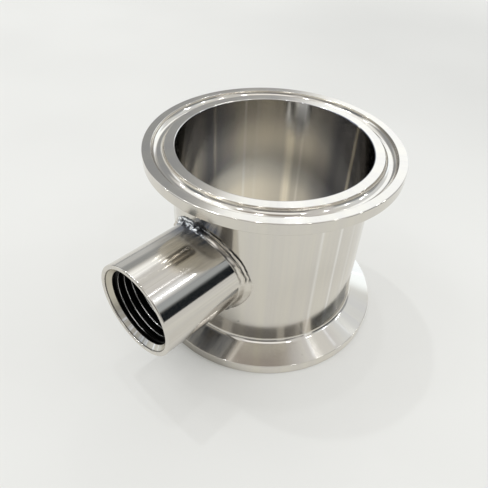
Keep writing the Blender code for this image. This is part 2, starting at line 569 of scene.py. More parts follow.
class SurfaceMarks:
    """Shader groups for what the shop and the hand leave on polished steel, and for painted highlights,
    reflection and shade, shared by the finishes.

    A line or a band is an angle about the run, in degrees, with its strength or tone there. The lines are
    painted highlights, and the bands are painted reflection and shade in the bore. A line's width is half of
    what it covers, as a part of a turn. Drift is how fast rings change round the axis, and streaks along it.
    """

    # Painted highlights: bright lines laid in the base colour stand in for lamp reflections stretched along
    # the run, outside the tube and in its bore.
    OUTSIDE_HIGHLIGHTS = ((-118.0, 0.7), (-22.0, 1.0), (-9.5, 0.9), (2.0, 0.8), (48.0, 0.6), (97.0, 0.8),
                     (163.0, 0.7))
    OUTSIDE_HIGHLIGHT_WIDTH = 0.0022
    BORE_HIGHLIGHTS = ((-141.0, 0.7), (-47.0, 0.6), (12.0, 0.8), (65.7, 1.0), (108.0, 0.8), (116.0, 0.9),
                  (141.0, 0.6), (149.0, 1.0), (161.0, 0.7))
    BORE_HIGHLIGHT_WIDTH = 0.0018
    # Painted reflection and shade: tones round the bore, from near white to dark blue, stand in for what its
    # mirror walls reflect.
    BORE_REFLECTION_BANDS = ((-150.0, 0.72), (-95.0, 0.7), (-45.0, 0.6), (0.0, 0.5), (40.0, 0.22), (55.0, 0.15),
                  (63.6, 0.12), (65.0, 0.75), (66.4, 0.75), (67.8, 0.13), (80.0, 0.16), (92.0, 0.36),
                  (104.0, 0.56), (113.0, 0.58), (115.0, 0.96), (118.0, 0.96), (121.0, 0.62), (140.0, 0.8),
                  (155.0, 0.86), (168.0, 0.86))
    PLAIN_BAND = 0.6
    HIGHLIGHT_GAPS = Patches(1.0, Fade(0.25, 0.6, 0.65, 1.0))
    HIGHLIGHT_GAP_STRETCH = (900.0, 900.0, 130.0)
    RING_DRIFT = 0.0004
    STREAK_DRIFT = 1.5
    FINER_STREAKS = (8.0, 8.0, 2.0)
    SMUDGED = Patches(0.09, Fade(0.46, 0.72), 4.0)
    SCRATCH_WARP_SCALE = 0.12
    SCRATCH_TURN = (0.6, 0.9, 0.35)
    SCRATCH_STRETCH = (0.05, 2.2, 2.2)
    SCRATCH_SCALE = 0.8
    SCRATCH_WIDTH = Fade(0.0, 0.02, 1.0, 0.0)
    SCRATCHED = Patches(0.22, Fade(0.52, 0.66))
    SPECK_SCALE = 0.3
    SPECK_SIZE = Fade(0.035, 0.06, 1.0, 0.0)
    SPECKED = Patches(0.06, Fade(0.6, 0.64))

    def __init__(self) -> None:
        """Build the groups once."""
        self.turning = self._turning_marks()
        self.handling = self._handling_marks()
        self.drawing = self._painted_lines_and_bands()

    @staticmethod
    def _ramp(graph: Graph, turn: NodeSocket, plain: float, stops: list[tuple[float, float]],
              way: str) -> NodeSocket:
        """Lay tones round an axis.

        Args:
            graph: graph of the group.
            turn: angle about the axis, from 0 to 1 for a whole turn from -180 degrees.
            plain: tone where the turn starts and ends.
            stops: place in the turn and tone of each stop.
            way: how the ramp goes from stop to stop.

        Returns:
            The tone at the angle.
        """
        node = graph.add("ShaderNodeValToRGB", {0: turn})
        node.color_ramp.interpolation = way
        elements = node.color_ramp.elements
        for end in elements:
            end.color = (plain, plain, plain, 1.0)
        for place, tone in stops:
            elements.new(place).color = (tone, tone, tone, 1.0)
        return node.outputs["Color"]

    @classmethod
    def _lines(cls, graph: Graph, turn: NodeSocket, lines: tuple[tuple[float, float], ...],
               width: float) -> NodeSocket:
        """Mark thin lines along an axis, each strongest in its middle.

        Args:
            graph: graph of the group.
            turn: angle about the axis, from 0 to 1 for a whole turn from -180 degrees.
            lines: angle and strength of each line.
            width: half width of a line as a part of a turn.

        Returns:
            The mask.
        """
        stops = []
        for angle, strength in lines:
            middle = angle / 360.0 + 0.5
            stops += [(middle - width, 0.0), (middle, strength), (middle + width, 0.0)]
        return cls._ramp(graph, turn, 0.0, stops, "LINEAR")

    @classmethod
    def _painted_lines_and_bands(cls) -> NodeTree:
        """Build the painted highlight lines along the run, outside and in the bore, and the painted bands of
        reflection and shade round the bore.

        Returns:
            The group.
        """
        tree = new_tree("Painted highlight lines and bore bands", "ShaderNodeTree", {"Vector": "Vector"},
                        {"Outside": "Float", "Bore": "Float", "Bore Painted Band": "Float"})
        graph = Graph(tree)
        place = graph.add("NodeGroupInput").outputs["Vector"]
        x, y, _ = graph.split(place)
        turn = graph.plus(graph.over(graph.math("ARCTAN2", y, x), math.tau), 0.5)
        gapped = graph.patches(graph.vector("MULTIPLY", place, cls.HIGHLIGHT_GAP_STRETCH), cls.HIGHLIGHT_GAPS)
        outside = cls._lines(graph, turn, cls.OUTSIDE_HIGHLIGHTS, cls.OUTSIDE_HIGHLIGHT_WIDTH)
        bore = cls._lines(graph, turn, cls.BORE_HIGHLIGHTS, cls.BORE_HIGHLIGHT_WIDTH)
        bands = [(angle / 360.0 + 0.5, tone) for angle, tone in cls.BORE_REFLECTION_BANDS]
        graph.add("NodeGroupOutput", {
            "Outside": graph.times(outside, gapped), "Bore": graph.times(bore, gapped),
            "Bore Painted Band": cls._ramp(graph, turn, cls.PLAIN_BAND, bands, "EASE")})
        return tree

    @classmethod
    def _turning_marks(cls) -> NodeTree:
        """Build the rings that turning and buffing leave round an axis, and the streaks along it.

        Returns:
            The group.
        """
        tree = new_tree("Turning marks", "ShaderNodeTree",
                        {"Vector": "Vector", "Ring Scale": "Float", "Streak Scale": "Float"},
                        {"Rings": "Float", "Streaks": "Float", "Fine Streaks": "Float"})
        graph = Graph(tree)
        source = graph.add("NodeGroupInput").outputs
        x, y, z = graph.split(source["Vector"])
        radius = graph.vector("LENGTH", graph.join(x, y, 0.0))
        angle = graph.math("ARCTAN2", y, x)
        ring_place = graph.join(radius, z, graph.times(angle, cls.RING_DRIFT))
        rings = graph.noise(graph.scale(ring_place, source["Ring Scale"]), 1.0, 3.0)
        around = graph.join(graph.math("COSINE", angle), graph.math("SINE", angle),
                            graph.times(z, cls.STREAK_DRIFT))
        streak_place = graph.scale(around, source["Streak Scale"])
        streaks = graph.noise(streak_place, 1.0, 3.0)
        fine = graph.noise(graph.vector("MULTIPLY", streak_place, cls.FINER_STREAKS), 1.0)
        graph.add("NodeGroupOutput", {"Rings": rings, "Streaks": streaks, "Fine Streaks": fine})
        return tree

    @classmethod
    def _handling_marks(cls) -> NodeTree:
        """Build the faint smudges, hairline scratches and specks that handling leaves.

        Returns:
            The group.
        """
        tree = new_tree("Handling marks", "ShaderNodeTree", {"Vector": "Vector", "Scale": "Float"},
                        {"Smudge": "Float", "Scratch": "Float", "Speck": "Float"})
        graph = Graph(tree)
        source = graph.add("NodeGroupInput").outputs
        place = graph.scale(source["Vector"], source["Scale"])
        smudge = graph.patches(place, cls.SMUDGED)
        warp = graph.add("ShaderNodeTexNoise", {"Vector": place, "Scale": cls.SCRATCH_WARP_SCALE})
        warped = graph.vector("ADD", place, warp.outputs["Color"])
        tilted = graph.add("ShaderNodeMapping", {"Vector": warped, "Rotation": cls.SCRATCH_TURN,
                                                 "Scale": cls.SCRATCH_STRETCH})
        lines = graph.add("ShaderNodeTexVoronoi", {"Vector": tilted.outputs[0], "Scale": cls.SCRATCH_SCALE},
                          feature="DISTANCE_TO_EDGE")
        scratch = graph.times(graph.fade(lines.outputs["Distance"], cls.SCRATCH_WIDTH),
                              graph.patches(place, cls.SCRATCHED))
        dots = graph.add("ShaderNodeTexVoronoi", {"Vector": place, "Scale": cls.SPECK_SCALE})
        speck = graph.times(graph.fade(dots.outputs["Distance"], cls.SPECK_SIZE),
                            graph.patches(place, cls.SPECKED))
        graph.add("NodeGroupOutput", {"Smudge": smudge, "Scratch": scratch, "Speck": speck})
        return tree


class GrainAxis(Enum):
    """Which centre line a finish's marks run round."""

    RUN = "run"
    BRANCH = "branch"


@dataclass(frozen=True)
class PolishedSteel:
    """Lathe-polished stainless steel: reflections stretch along the section, across the polishing rings.

    A finish on the run has painted highlight lines, and a bore painted with bands of reflection and shade
    that grow darker towards its ends. bore_edge is measured in from the tube's outside, and rim_edge from a
    clamp face. A finish on the branch has the weld's heat tint, which partly stands in for a painted dark
    reflection of the flange's underside, and painted shade under the branch beside the weld, where a reach is
    a distance from the saddle line and a lean is a height as a share of the radius.
    """

    name: str
    grain: GrainAxis
    colour: Colour = (0.668, 0.638, 0.576)
    cooling: Colour = (0.955, 0.955, 0.985)
    cooled: Fade = Fade(0.35, 0.7)
    streaking: float = 0.05
    streaked: tuple[float, float] = (0.5, 0.75)
    streak_shade: float = 0.5
    roughness: float = 0.105
    ring_wear: tuple[float, float] = (0.9, 1.1)
    rings: tuple[float, float] = (0.3, 0.7)
    ring_height: float = 0.0000006
    ring_scale: float = 5200.0
    streak_scale: float = 9.0
    handling_scale: float = 1000.0
    stretch: float = 0.88
    smudging: float = 0.03
    scratching: float = 0.05
    specking: float = 0.6
    speck_colour: Colour = (0.09, 0.085, 0.08)
    pit: Place | None = None
    pit_size: Fade = Fade(0.00012, 0.00028, 0.92, 0.0)
    bore_edge: tuple[float, float] = (0.0011, 0.0008)
    # Painted light and painted shade, between which the bore's bands run, and how far the bands darken
    # towards the bore's ends.
    bore_painted_light: Colour = (0.98, 0.935, 0.83)
    bore_painted_shade: Colour = (0.13, 0.145, 0.205)
    bore_end_shade: Fade = Fade(0.012, 0.023, 1.0, 0.76)
    bore_roughness: float = 0.12
    rim_edge: tuple[float, float] = (0.0033, 0.003)
    # Colour of the painted highlight lines.
    highlight_colour: Colour = (0.96, 0.96, 0.95)
    bore_highlight_strength: float = 0.8
    tint_stretch: Place = (1500.0, 1500.0, 220.0)
    tinted: Patches = Patches(1.0, Fade(0.3, 0.7, 0.7, 1.0), 3.0)
    straw_colour: Colour = (0.27, 0.245, 0.2)
    straw_reach: Fade = Fade(0.007, 0.0135, 0.5, 0.0)
    straw_lean: Fade = Fade(0.6, 0.85)
    # Dark blue heat tint on top, partly standing in for a painted dark reflection of the flange's underside;
    # the same colour lays painted shade under the branch beside the weld.
    heat_tint_and_shade: Colour = (0.08, 0.098, 0.14)
    blue_reach: Fade = Fade(0.0015, 0.0075, 1.0, 0.0)
    blue_lean: Fade = Fade(0.72, 0.97)
    underside_shade_reach: Fade = Fade(0.007, 0.015, 0.86, 0.0)
    underside_shade_lean: Fade = Fade(-0.8, -0.45, 1.0, 0.0)

    def build(self, sizes: FrameSizes, marks: SurfaceMarks) -> Material:
        """Build the material.

        Args:
            sizes: sizes of the frame, which give the grain's centre line.
            marks: shared groups of surface marks.

        Returns:
            The new material.
        """
        material, graph, shader = new_finish(self.name)
        place = centred_place(graph, sizes, self.grain)
        turned = graph.use(marks.turning, {"Vector": place, "Ring Scale": self.ring_scale,
                                           "Streak Scale": self.streak_scale})
        handled = graph.use(marks.handling, {"Vector": place, "Scale": self.handling_scale})

        cool = tuple(channel * share for channel, share in zip(self.colour, self.cooling))
        dark = tuple(channel * self.streak_shade for channel in self.colour)
        base = graph.mix_colour(graph.fade(turned["Streaks"], self.cooled), self.colour, cool)
        fine = graph.ease(turned["Fine Streaks"], *self.streaked, 0.0, self.streaking)
        base = graph.mix_colour(fine, base, dark)
        least, most = (self.roughness * share for share in self.ring_wear)
        rough = graph.ease(turned["Rings"], *self.rings, least, most)
        if self.grain is GrainAxis.RUN:
            inside = self._bore_mask(graph, place, sizes)
            base = self._paint_bore_and_lines(graph, place, inside, base, sizes, marks)
            rough = graph.blend(inside, rough, self.bore_roughness)
        else:
            base = self._heat_tint_and_shade(graph, place, base, sizes)
        speck = graph.times(handled["Speck"], self.specking)
        if self.pit is not None:
            speck = graph.most(speck, graph.fade(graph.vector("DISTANCE", place, self.pit), self.pit_size))
        graph.feed(shader.inputs["Base Color"], graph.mix_colour(speck, base, self.speck_colour))

        rough = graph.plus(rough, graph.times(handled["Smudge"], self.smudging))
        rough = graph.plus(rough, graph.times(handled["Scratch"], self.scratching))
        graph.feed(shader.inputs["Roughness"], rough)
        bump = graph.add("ShaderNodeBump", {"Height": turned["Rings"], "Distance": self.ring_height,
                                            "Strength": 1.0})
        graph.feed(shader.inputs["Normal"], bump.outputs[0])
        shader.inputs["Anisotropic"].default_value = self.stretch
        tangent = graph.add("ShaderNodeTangent", direction_type="UV_MAP", uv_map=UV_NAME)
        graph.feed(shader.inputs["Tangent"], tangent.outputs[0])
        return material

    def _bore_mask(self, graph: Graph, place: NodeSocket, sizes: FrameSizes) -> NodeSocket:
        """Mark the run's bore.

        Args:
            graph: graph of the material.
            place: place on the piece, centred on the run.
            sizes: sizes of the frame.

        Returns:
            A mask that is 1 in the bore.
        """
        x, y, _ = graph.split(place)
        radius = graph.vector("LENGTH", graph.join(x, y, 0.0))
        full, none = (sizes.tube_radius - depth for depth in self.bore_edge)
        return graph.ease(radius, full, none, 1.0, 0.0)

    def _paint_bore_and_lines(self, graph: Graph, place: NodeSocket, inside: NodeSocket, base: NodeSocket,
              sizes: FrameSizes, marks: SurfaceMarks) -> NodeSocket:
        """Add the bore's painted bands of reflection and shade, darker towards its ends, and the painted
        highlight lines along the run.

        Args:
            graph: graph of the material.
            place: place on the piece, centred on the run.
            inside: mask of the bore.
            base: colour so far.
            sizes: sizes of the frame.
            marks: shared groups of surface marks.

        Returns:
            The new colour.
        """
        painted_marks = graph.use(marks.drawing, {"Vector": place})
        half = sizes.run_length / 2.0
        from_middle = graph.apart(graph.split(place)[2], half)
        between_rims = graph.ease(from_middle, *(half - edge for edge in self.rim_edge), 1.0, 0.0)
        # The bore takes painted bands of reflection and shade, with painted shade towards its ends.
        band = graph.times(painted_marks["Bore Painted Band"], graph.fade(from_middle, self.bore_end_shade))
        base = graph.mix_colour(inside, base, graph.mix_colour(band, self.bore_painted_shade, self.bore_painted_light))
        # Painted highlight lines outside the tube and in the bore.
        outside = graph.times(between_rims, graph.minus(1.0, inside))
        outer = graph.times(outside, painted_marks["Outside"])
        inner = graph.times(graph.times(inside, painted_marks["Bore"]), self.bore_highlight_strength)
        return graph.mix_colour(graph.plus(outer, inner), base, self.highlight_colour)

    def _heat_tint_and_shade(self, graph: Graph, place: NodeSocket, base: NodeSocket, sizes: FrameSizes) -> NodeSocket:
        """Add the tint beside the branch's weld: straw and blue heat tint on top, which partly stands in for
        a painted dark reflection of the flange's underside, and painted shade beneath.

        Args:
            graph: graph of the material.
            place: place on the piece, centred on the branch.
            base: colour so far.
            sizes: sizes of the frame.

        Returns:
            The new colour.
        """
        x, y, along = graph.split(place)
        saddle = graph.math("SQRT", graph.minus(sizes.tube_radius ** 2, graph.times(x, x)))
        lean = graph.over(y, graph.vector("LENGTH", graph.join(x, y, 0.0)))
        past = graph.minus(along, saddle)
        patchy = graph.patches(graph.vector("MULTIPLY", place, self.tint_stretch), self.tinted)
        # Straw and blue are heat tint that partly stands in for a painted dark reflection; the tint under the
        # branch is painted shade.
        straw, blue, underside_shade = (
            graph.times(graph.fade(past, reach), graph.fade(lean, height))
            for reach, height in ((self.straw_reach, self.straw_lean), (self.blue_reach, self.blue_lean),
                                  (self.underside_shade_reach, self.underside_shade_lean)))
        base = graph.mix_colour(graph.times(straw, patchy), base, self.straw_colour)
        return graph.mix_colour(graph.times(graph.most(blue, underside_shade), patchy), base, self.heat_tint_and_shade)


@dataclass(frozen=True)
class CutThread:
    """Bare thread as the tap left it, with a painted highlight along the crests and painted shade in the
    roots.

    The sizes are the radius of the crests, the thread's depth, the distances of the countersink's inner end
    and of the lip's foot from the run axis, and how fast the countersink opens. The countersink is satin,
    with chatter marks low down that are painted as bright glints, and a painted shade line runs round the
    lip's foot.
    """

    minor: float
    depth: float
    sink: float
    lip: float
    slope: float
    name: str = "cut_thread"
    # Painted highlight on the crests; the root colour below is painted shade in the thread's roots.
    crest_highlight: Colour = (0.97, 0.96, 0.93)
    crest_depth: tuple[float, float] = (0.008, 0.06)
    root: Colour = (0.01, 0.0095, 0.009)
    mouth: Colour = (0.57, 0.535, 0.45)
    mouth_start: Fade = Fade(-0.0001, 0.0001)
    # Chatter marks low in the countersink, painted as bright glints.
    chatter_glint: Colour = (0.97, 0.98, 1.0)
    chatter_scale: float = 8.0
    chatter_streaks: Fade = Fade(0.42, 0.6, 0.12, 0.85)
    chatter_lean: Fade = Fade(-0.8, -0.55, 1.0, 0.0)
    # A painted shade line round the lip's foot.
    lip_shade_line: Fade = Fade(0.00005, 0.00022, 0.85, 0.0)
    crest_roughness: float = 0.16
    mouth_roughness: float = 0.36
    root_roughness: float = 0.42
    smudging: float = 0.08
    handling_scale: float = 2500.0

    def build(self, sizes: FrameSizes, marks: SurfaceMarks) -> Material:
        """Build the material.

        Args:
            sizes: sizes of the frame.
            marks: shared groups of surface marks.

        Returns:
            The new material.
        """
        material, graph, shader = new_finish(self.name)
        place = centred_place(graph, sizes, GrainAxis.BRANCH)
        x, y, along = graph.split(place)
        radius = graph.vector("LENGTH", graph.join(x, y, 0.0))
        past = graph.minus(along, self.sink)
        open_by = graph.times(graph.most(past, 0.0), self.slope)
        below = graph.minus(radius, graph.plus(open_by, self.minor))
        sunk = graph.ease(below, *(share * self.depth for share in self.crest_depth))
        on_mouth = graph.fade(past, self.mouth_start)

        turned = graph.use(marks.turning, {"Vector": place, "Streak Scale": self.chatter_scale})
        beneath = graph.fade(graph.over(y, radius), self.chatter_lean)
        chattered = graph.times(graph.fade(turned["Streaks"], self.chatter_streaks), beneath)
        mouth = graph.mix_colour(chattered, self.mouth, self.chatter_glint)
        bare = graph.mix_colour(on_mouth, self.crest_highlight, mouth)
        # The roots and the lip's foot take painted shade, and the bare crests a painted highlight.
        root_and_lip_shade = graph.most(sunk, graph.fade(graph.apart(along, self.lip), self.lip_shade_line))
        graph.feed(shader.inputs["Base Color"], graph.mix_colour(root_and_lip_shade, bare, self.root))

        handled = graph.use(marks.handling, {"Vector": place, "Scale": self.handling_scale})
        raised = graph.blend(on_mouth, self.crest_roughness, self.mouth_roughness)
        rough = graph.plus(graph.blend(sunk, raised, self.root_roughness),
                           graph.times(handled["Smudge"], self.smudging))
        graph.feed(shader.inputs["Roughness"], rough)
        return material


@dataclass(frozen=True)
class WeldSteel:
    """Weld metal: bright cords, painted shade at the toes, crease and underside, painted glints on a painted
    dark reflection where no buff reaches, satin where ground.
    """

    name: str = "fillet_weld_steel"
    colour: Colour = (0.69, 0.655, 0.595)
    tint: Colour = (0.58, 0.545, 0.485)
    tinted: Patches = Patches(420.0, Fade(0.4, 0.7), 3.0)
    # Painted shade at the toes, in the crease and under the bead.
    toe_shade: Colour = (0.025, 0.025, 0.025)
    # Painted dark reflection and painted glints where no buff reaches.
    raw_dark_reflection: Colour = (0.05, 0.056, 0.072)
    glint: Colour = (0.9, 0.93, 0.96)
    glints: Patches = Patches(760.0, Fade(0.47, 0.55))
    roughness: float = 0.085
    ground_roughness: float = 0.3
    smudging: float = 0.12
    handling_scale: float = 3000.0

    def build(self, sizes: FrameSizes, marks: SurfaceMarks) -> Material:
        """Build the material.

        Args:
            sizes: sizes of the frame.
            marks: shared groups of surface marks.

        Returns:
            The new material.
        """
        material, graph, shader = new_finish(self.name)
        place = centred_place(graph, sizes, GrainAxis.BRANCH)
        toe_shade, raw, ground = (graph.add("ShaderNodeAttribute", attribute_name=name).outputs["Fac"]
                            for name in (WELD_SHADE_NAME, RAW_NAME, GROUND_NAME))
        base = graph.mix_colour(graph.patches(place, self.tinted), self.colour, self.tint)
        # Where no buff reaches, patches of painted glints lie on a painted dark reflection.
        raw_glints_and_dark = graph.mix_colour(graph.patches(place, self.glints), self.raw_dark_reflection, self.glint)
        base = graph.mix_colour(toe_shade, graph.mix_colour(raw, base, raw_glints_and_dark), self.toe_shade)
        graph.feed(shader.inputs["Base Color"], base)
        handled = graph.use(marks.handling, {"Vector": place, "Scale": self.handling_scale})
        rough = graph.plus(graph.times(handled["Smudge"], self.smudging),
                           graph.blend(ground, self.roughness, self.ground_roughness))
        graph.feed(shader.inputs["Roughness"], rough)
        return material


def find_node(tree: NodeTree, kind: str) -> Node:
    """Return the first node of a type in a tree."""
    return next(node for node in tree.nodes if node.type == kind)


def new_finish(name: str, metallic: float = 1.0) -> tuple[Material, Graph, Node]:
    """Start a material.

    Args:
        name: name of the finish.
        metallic: 1 for bare metal and 0 for anything else.

    Returns:
        The material, a graph on its nodes and its Principled shader.
    """
    material = bpy.data.materials.new(name)
    material.use_nodes = True
    shader = find_node(material.node_tree, "BSDF_PRINCIPLED")
    shader.inputs["Metallic"].default_value = metallic
    return material, Graph(material.node_tree), shader


def centred_place(graph: Graph, sizes: FrameSizes, grain: GrainAxis) -> NodeSocket:
    """Return object coordinates with Z along a centre line of the tee.

    Args:
        graph: graph of the material.
        sizes: sizes of the frame.
        grain: centre line to use.

    Returns:
        The coordinate socket.
    """
    coords = graph.add("ShaderNodeTexCoord").outputs["Object"]
    if grain is GrainAxis.RUN:
        return graph.vector("SUBTRACT", coords, (0.0, sizes.run_y, 0.0))
    x, y, z = graph.split(graph.vector("SUBTRACT", coords, (0.0, sizes.run_y, sizes.socket_height)))
    return graph.join(x, z, graph.times(y, -1.0))


@dataclass
class ClampRun:
    """The run: a tube, a turned clamp ferrule at each end and the flush welds between them.

    drill_core is the inner radius of the ring that drills the branch hole, and drill_start the share of the
    tube's radius where it starts. pit is a small pit low on the tube, from the foot of the run axis.
    """

    sizes: FrameSizes
    wall: float = 0.0012
    rim_height: float = 0.00285
    taper: float = math.radians(20.0)
    edge: float = 0.00022
    hub_fillet: float = 0.0015
    inner_land: float = 0.0025
    groove_width: float = 0.0031
    groove_depth: float = 0.0015
    groove_edge: float = 0.00012
    hole_radius: float = 0.0093
    drill_core: float = 0.0005
    drill_start: float = 0.5
    drill_steps: int = 144
    pit: Place = (0.01103, -0.02288, 0.01156)
    steps: int = 288

    def ferrule(self, end: RunEnd) -> Object:
        """Turn one clamp ferrule.

        Args:
            end: end of the run that it is for.

        Returns:
            The ferrule.
        """
        bore = self.sizes.tube_radius - self.wall
        flange, tube = self.sizes.flange_radius, self.sizes.tube_radius
        inner, outer = bore + self.inner_land, bore + self.inner_land + self.groove_width
        floor = self.groove_depth - self.groove_edge
        hub = self.rim_height + (flange - tube) * math.tan(self.taper)
        section = Section([
            Corner(bore, 0.0, self.edge),
            Corner(inner, 0.0, self.groove_edge),
            Corner(inner, self.groove_depth, floor),
            Corner(outer, self.groove_depth, floor),
            Corner(outer, 0.0, self.groove_edge),
            Corner(flange, 0.0, self.edge),
            Corner(flange, self.rim_height, self.edge),
            Corner(tube, hub, self.hub_fillet),
            Corner(tube, self.sizes.ferrule_length),
            Corner(bore, self.sizes.ferrule_length),
        ])
        name = f"{end.value}_clamp_ferrule"
        return self._finish(self.sizes.run_axis(end).turn(name, section, self.steps))

    def girth_weld(self, end: RunEnd) -> Object:
        """Turn the flush weld ring beside one ferrule.

        Args:
            end: end of the run that it is for.

        Returns:
            The ring.
        """
        start = self.sizes.ferrule_length
        stop = start + self.sizes.weld_width
        return self._finish(self._ring(f"{end.value}_flush_weld", end, start, stop))

    def tube(self) -> Object:
        """Turn the tube and drill the branch hole through its wall.

        Returns:
            The tube.
        """
        start = self.sizes.ferrule_length + self.sizes.weld_width
        piece = self._ring("polished_run_tube", RunEnd.LOWER, start, self.sizes.run_length - start)
        near, far = self.sizes.tube_radius * self.drill_start, self.sizes.socket_reach
        drill_section = Section([Corner(self.drill_core, near), Corner(self.hole_radius, near),
                                 Corner(self.hole_radius, far), Corner(self.drill_core, far)])
        drill = self.sizes.branch_axis().turn("branch_hole_drill", drill_section, self.drill_steps)
        cut = piece.modifiers.new("branch hole", "BOOLEAN")
        cut.operation = "DIFFERENCE"
        cut.solver = "EXACT"
        cut.object = drill
        settle(piece)
        bpy.data.meshes.remove(drill.data)
        self._true_tube(piece.data)
        return piece

    def _ring(self, name: str, end: RunEnd, start: float, stop: float) -> Object:
        """Turn a plain length of tube.

        Args:
            name: name of the piece.
            end: clamp face that the heights are measured from.
            start: height of its near end.
            stop: height of its far end.

        Returns:
            The ring.
        """
        outside = self.sizes.tube_radius
        bore = outside - self.wall
        section = Section([Corner(bore, start), Corner(outside, start),
                           Corner(outside, stop), Corner(bore, stop)])
        return self.sizes.run_axis(end).turn(name, section, self.steps)

    def _true_tube(self, mesh: Mesh) -> None:
        """Give the drilled tube its true cylinder normals and an even map along the run.

        Args:
            mesh: the drilled tube.
        """
        places = np.array([vertex.co for vertex in mesh.vertices]) - np.array((0.0, self.sizes.run_y, 0.0))
        middle = self.sizes.tube_radius - self.wall / 2.0
        radii = np.hypot(places[:, 0], places[:, 1])
        normals = np.empty((len(mesh.loops), 3))
        layer = mesh.uv_layers[UV_NAME]
        for face in mesh.polygons:
            corners = list(face.vertices)
            outer = radii[corners] > middle
            start = math.atan2(face.center.y - self.sizes.run_y, face.center.x)
            for loop, vertex in zip(face.loop_indices, corners):
                x, y, z = places[vertex]
                normal = Vector((x, y, 0.0)).normalized() * (1.0 if outer[0] else -1.0)
                normals[loop] = normal if outer.all() or not outer.any() else face.normal
                turn = (math.atan2(y, x) - start + math.pi) % math.tau - math.pi + start
                layer.uv[loop].vector = (z * UV_PER_METRE, turn / math.tau)
        smooth(mesh, normals)
        drop_notes(mesh)

    @staticmethod
    def _finish(piece: Object) -> Object:
        """Shade a turned ring by its stored normals.

        Args:
            piece: the ring.

        Returns:
            The same ring.
        """
        smooth(piece.data, corner_vectors(piece.data, NORMAL_NAME))
        drop_notes(piece.data)
        return piece

    def build(self, marks: SurfaceMarks) -> list[Object]:
        """Build and dress the run.

        Args:
            marks: shared groups of surface marks.

        Returns:
            The finished pieces.
        """
        tube_steel, ferrule_steel, weld_steel = (
            steel.build(self.sizes, marks) for steel in (
                PolishedSteel("polished_tube_steel", GrainAxis.RUN, pit=self.pit),
                PolishedSteel("polished_ferrule_steel", GrainAxis.RUN, streaking=0.04),
                PolishedSteel("flush_weld_steel", GrainAxis.RUN, smudging=0.05)))
        tube = self.tube()
        hand_over(tube, tube_steel, "run_tube")
        pieces = [tube]
        for end in RunEnd:
            ferrule, weld = self.ferrule(end), self.girth_weld(end)
            hand_over(ferrule, ferrule_steel, f"{end.value}_ferrule")
            hand_over(weld, weld_steel, f"{end.value}_girth_weld")
            pieces += [ferrule, weld]
        return pieces


class ThreadCutter:
    """The Geometry Nodes tree that cuts a right-hand thread into the bore of a turned blank."""

    INPUTS = {"Blank": "Geometry", "Axis Origin": "Vector", "Minor Radius": "Float", "Depth": "Float",
              "Pitch": "Float", "Mouth": "Float", "Mouth Radius": "Float", "Sink": "Float",
              "Length": "Float", "Run Out": "Float", "Steel": "Material", "Thread": "Material"}
    START_TURN = 0.2
    FLANK = Fade(0.0, 0.92)
    LEAD_IN = Fade(-0.0006, -0.0004)
    RELIEF = Fade(0.0, 0.0004, 1.0, 0.0)
    MARGIN = 0.0001

    def __init__(self) -> None:
        """Start the tree and find each point's place along the branch and its radius."""
        self.tree = new_tree("Cut pipe thread", "GeometryNodeTree", self.INPUTS, {"Socket": "Geometry"})
        self.graph = Graph(self.tree)
        self.source = self.graph.add("NodeGroupInput").outputs
        place = self.graph.add("GeometryNodeInputPosition").outputs[0]
        self.x, self.y, self.z = self.graph.split(
            self.graph.vector("SUBTRACT", place, self.source["Axis Origin"]))
        self.along = self.graph.times(self.y, -1.0)
        self.radius = self.graph.vector("LENGTH", self.graph.join(self.x, 0.0, self.z))

    def _depth(self) -> NodeSocket:
        """Work out how deep the thread is cut: a V along a helix, from a relief to a run-out inside.

        Returns:
            The depth at each point.
        """
        graph, source = self.graph, self.source
        turn = graph.over(graph.math("ARCTAN2", self.z, self.x), math.tau)
        turns = graph.minus(graph.over(self.along, source["Pitch"]), turn)
        phase = graph.math("FRACT", graph.plus(turns, self.START_TURN))
        shape = graph.fade(graph.apart(graph.times(phase, 2.0), 1.0), self.FLANK)
        depth_in = graph.minus(source["Mouth"], self.along)
        end = graph.plus(source["Length"], source["Run Out"])
        run_out = graph.ease(depth_in, source["Length"], end, 1.0, 0.0)
        past_cone = graph.minus(depth_in, source["Sink"])
        shape = graph.most(shape, graph.fade(past_cone, self.RELIEF))
        shape = graph.times(shape, graph.times(run_out, graph.fade(past_cone, self.LEAD_IN)))
        return graph.times(shape, source["Depth"])

    def build(self) -> NodeTree:
        """Cut the bore, and dress the socket and its thread.

        Returns:
            The tree.
        """
        graph, source = self.graph, self.source
        wanted = graph.most(self.radius, graph.plus(source["Minor Radius"], self._depth()))
        grow = graph.over(wanted, self.radius)
        moved = graph.join(graph.times(self.x, grow), self.y, graph.times(self.z, grow))
        moved = graph.vector("ADD", moved, source["Axis Origin"])
        inside = graph.math("LESS_THAN", self.radius, graph.plus(source["Mouth Radius"], self.MARGIN))
        shaped = graph.add("GeometryNodeSetPosition", {"Geometry": source["Blank"], "Selection": inside,
                                                       "Position": moved})
        solid = graph.add("GeometryNodeRealizeInstances", {"Geometry": shaped.outputs[0]})
        dressed = graph.add("GeometryNodeSetMaterial", {"Geometry": solid.outputs[0],
                                                        "Material": source["Steel"]})
        marked = graph.add("GeometryNodeInputNamedAttribute", {"Name": CUT_NAME}, data_type="BOOLEAN")
        threaded = graph.add("GeometryNodeSetMaterial", {"Geometry": dressed.outputs[0],
                                                         "Selection": marked.outputs["Attribute"],
                                                         "Material": source["Thread"]})
        graph.add("NodeGroupOutput", {"Socket": threaded.outputs[0]})
        return self.tree


@dataclass(frozen=True)
class WeldCord:
    """One cord of the weld: its least lean, how far and how often it strays, and how its height swells."""

    start: float
    stray: float
    stray_scale: float
    swell: Patches


@dataclass(frozen=True)
class WeldToe:
    """A painted shade line where the weld meets a wall: its lean and how it fades to both sides."""

    lean: float
    fade: Fade


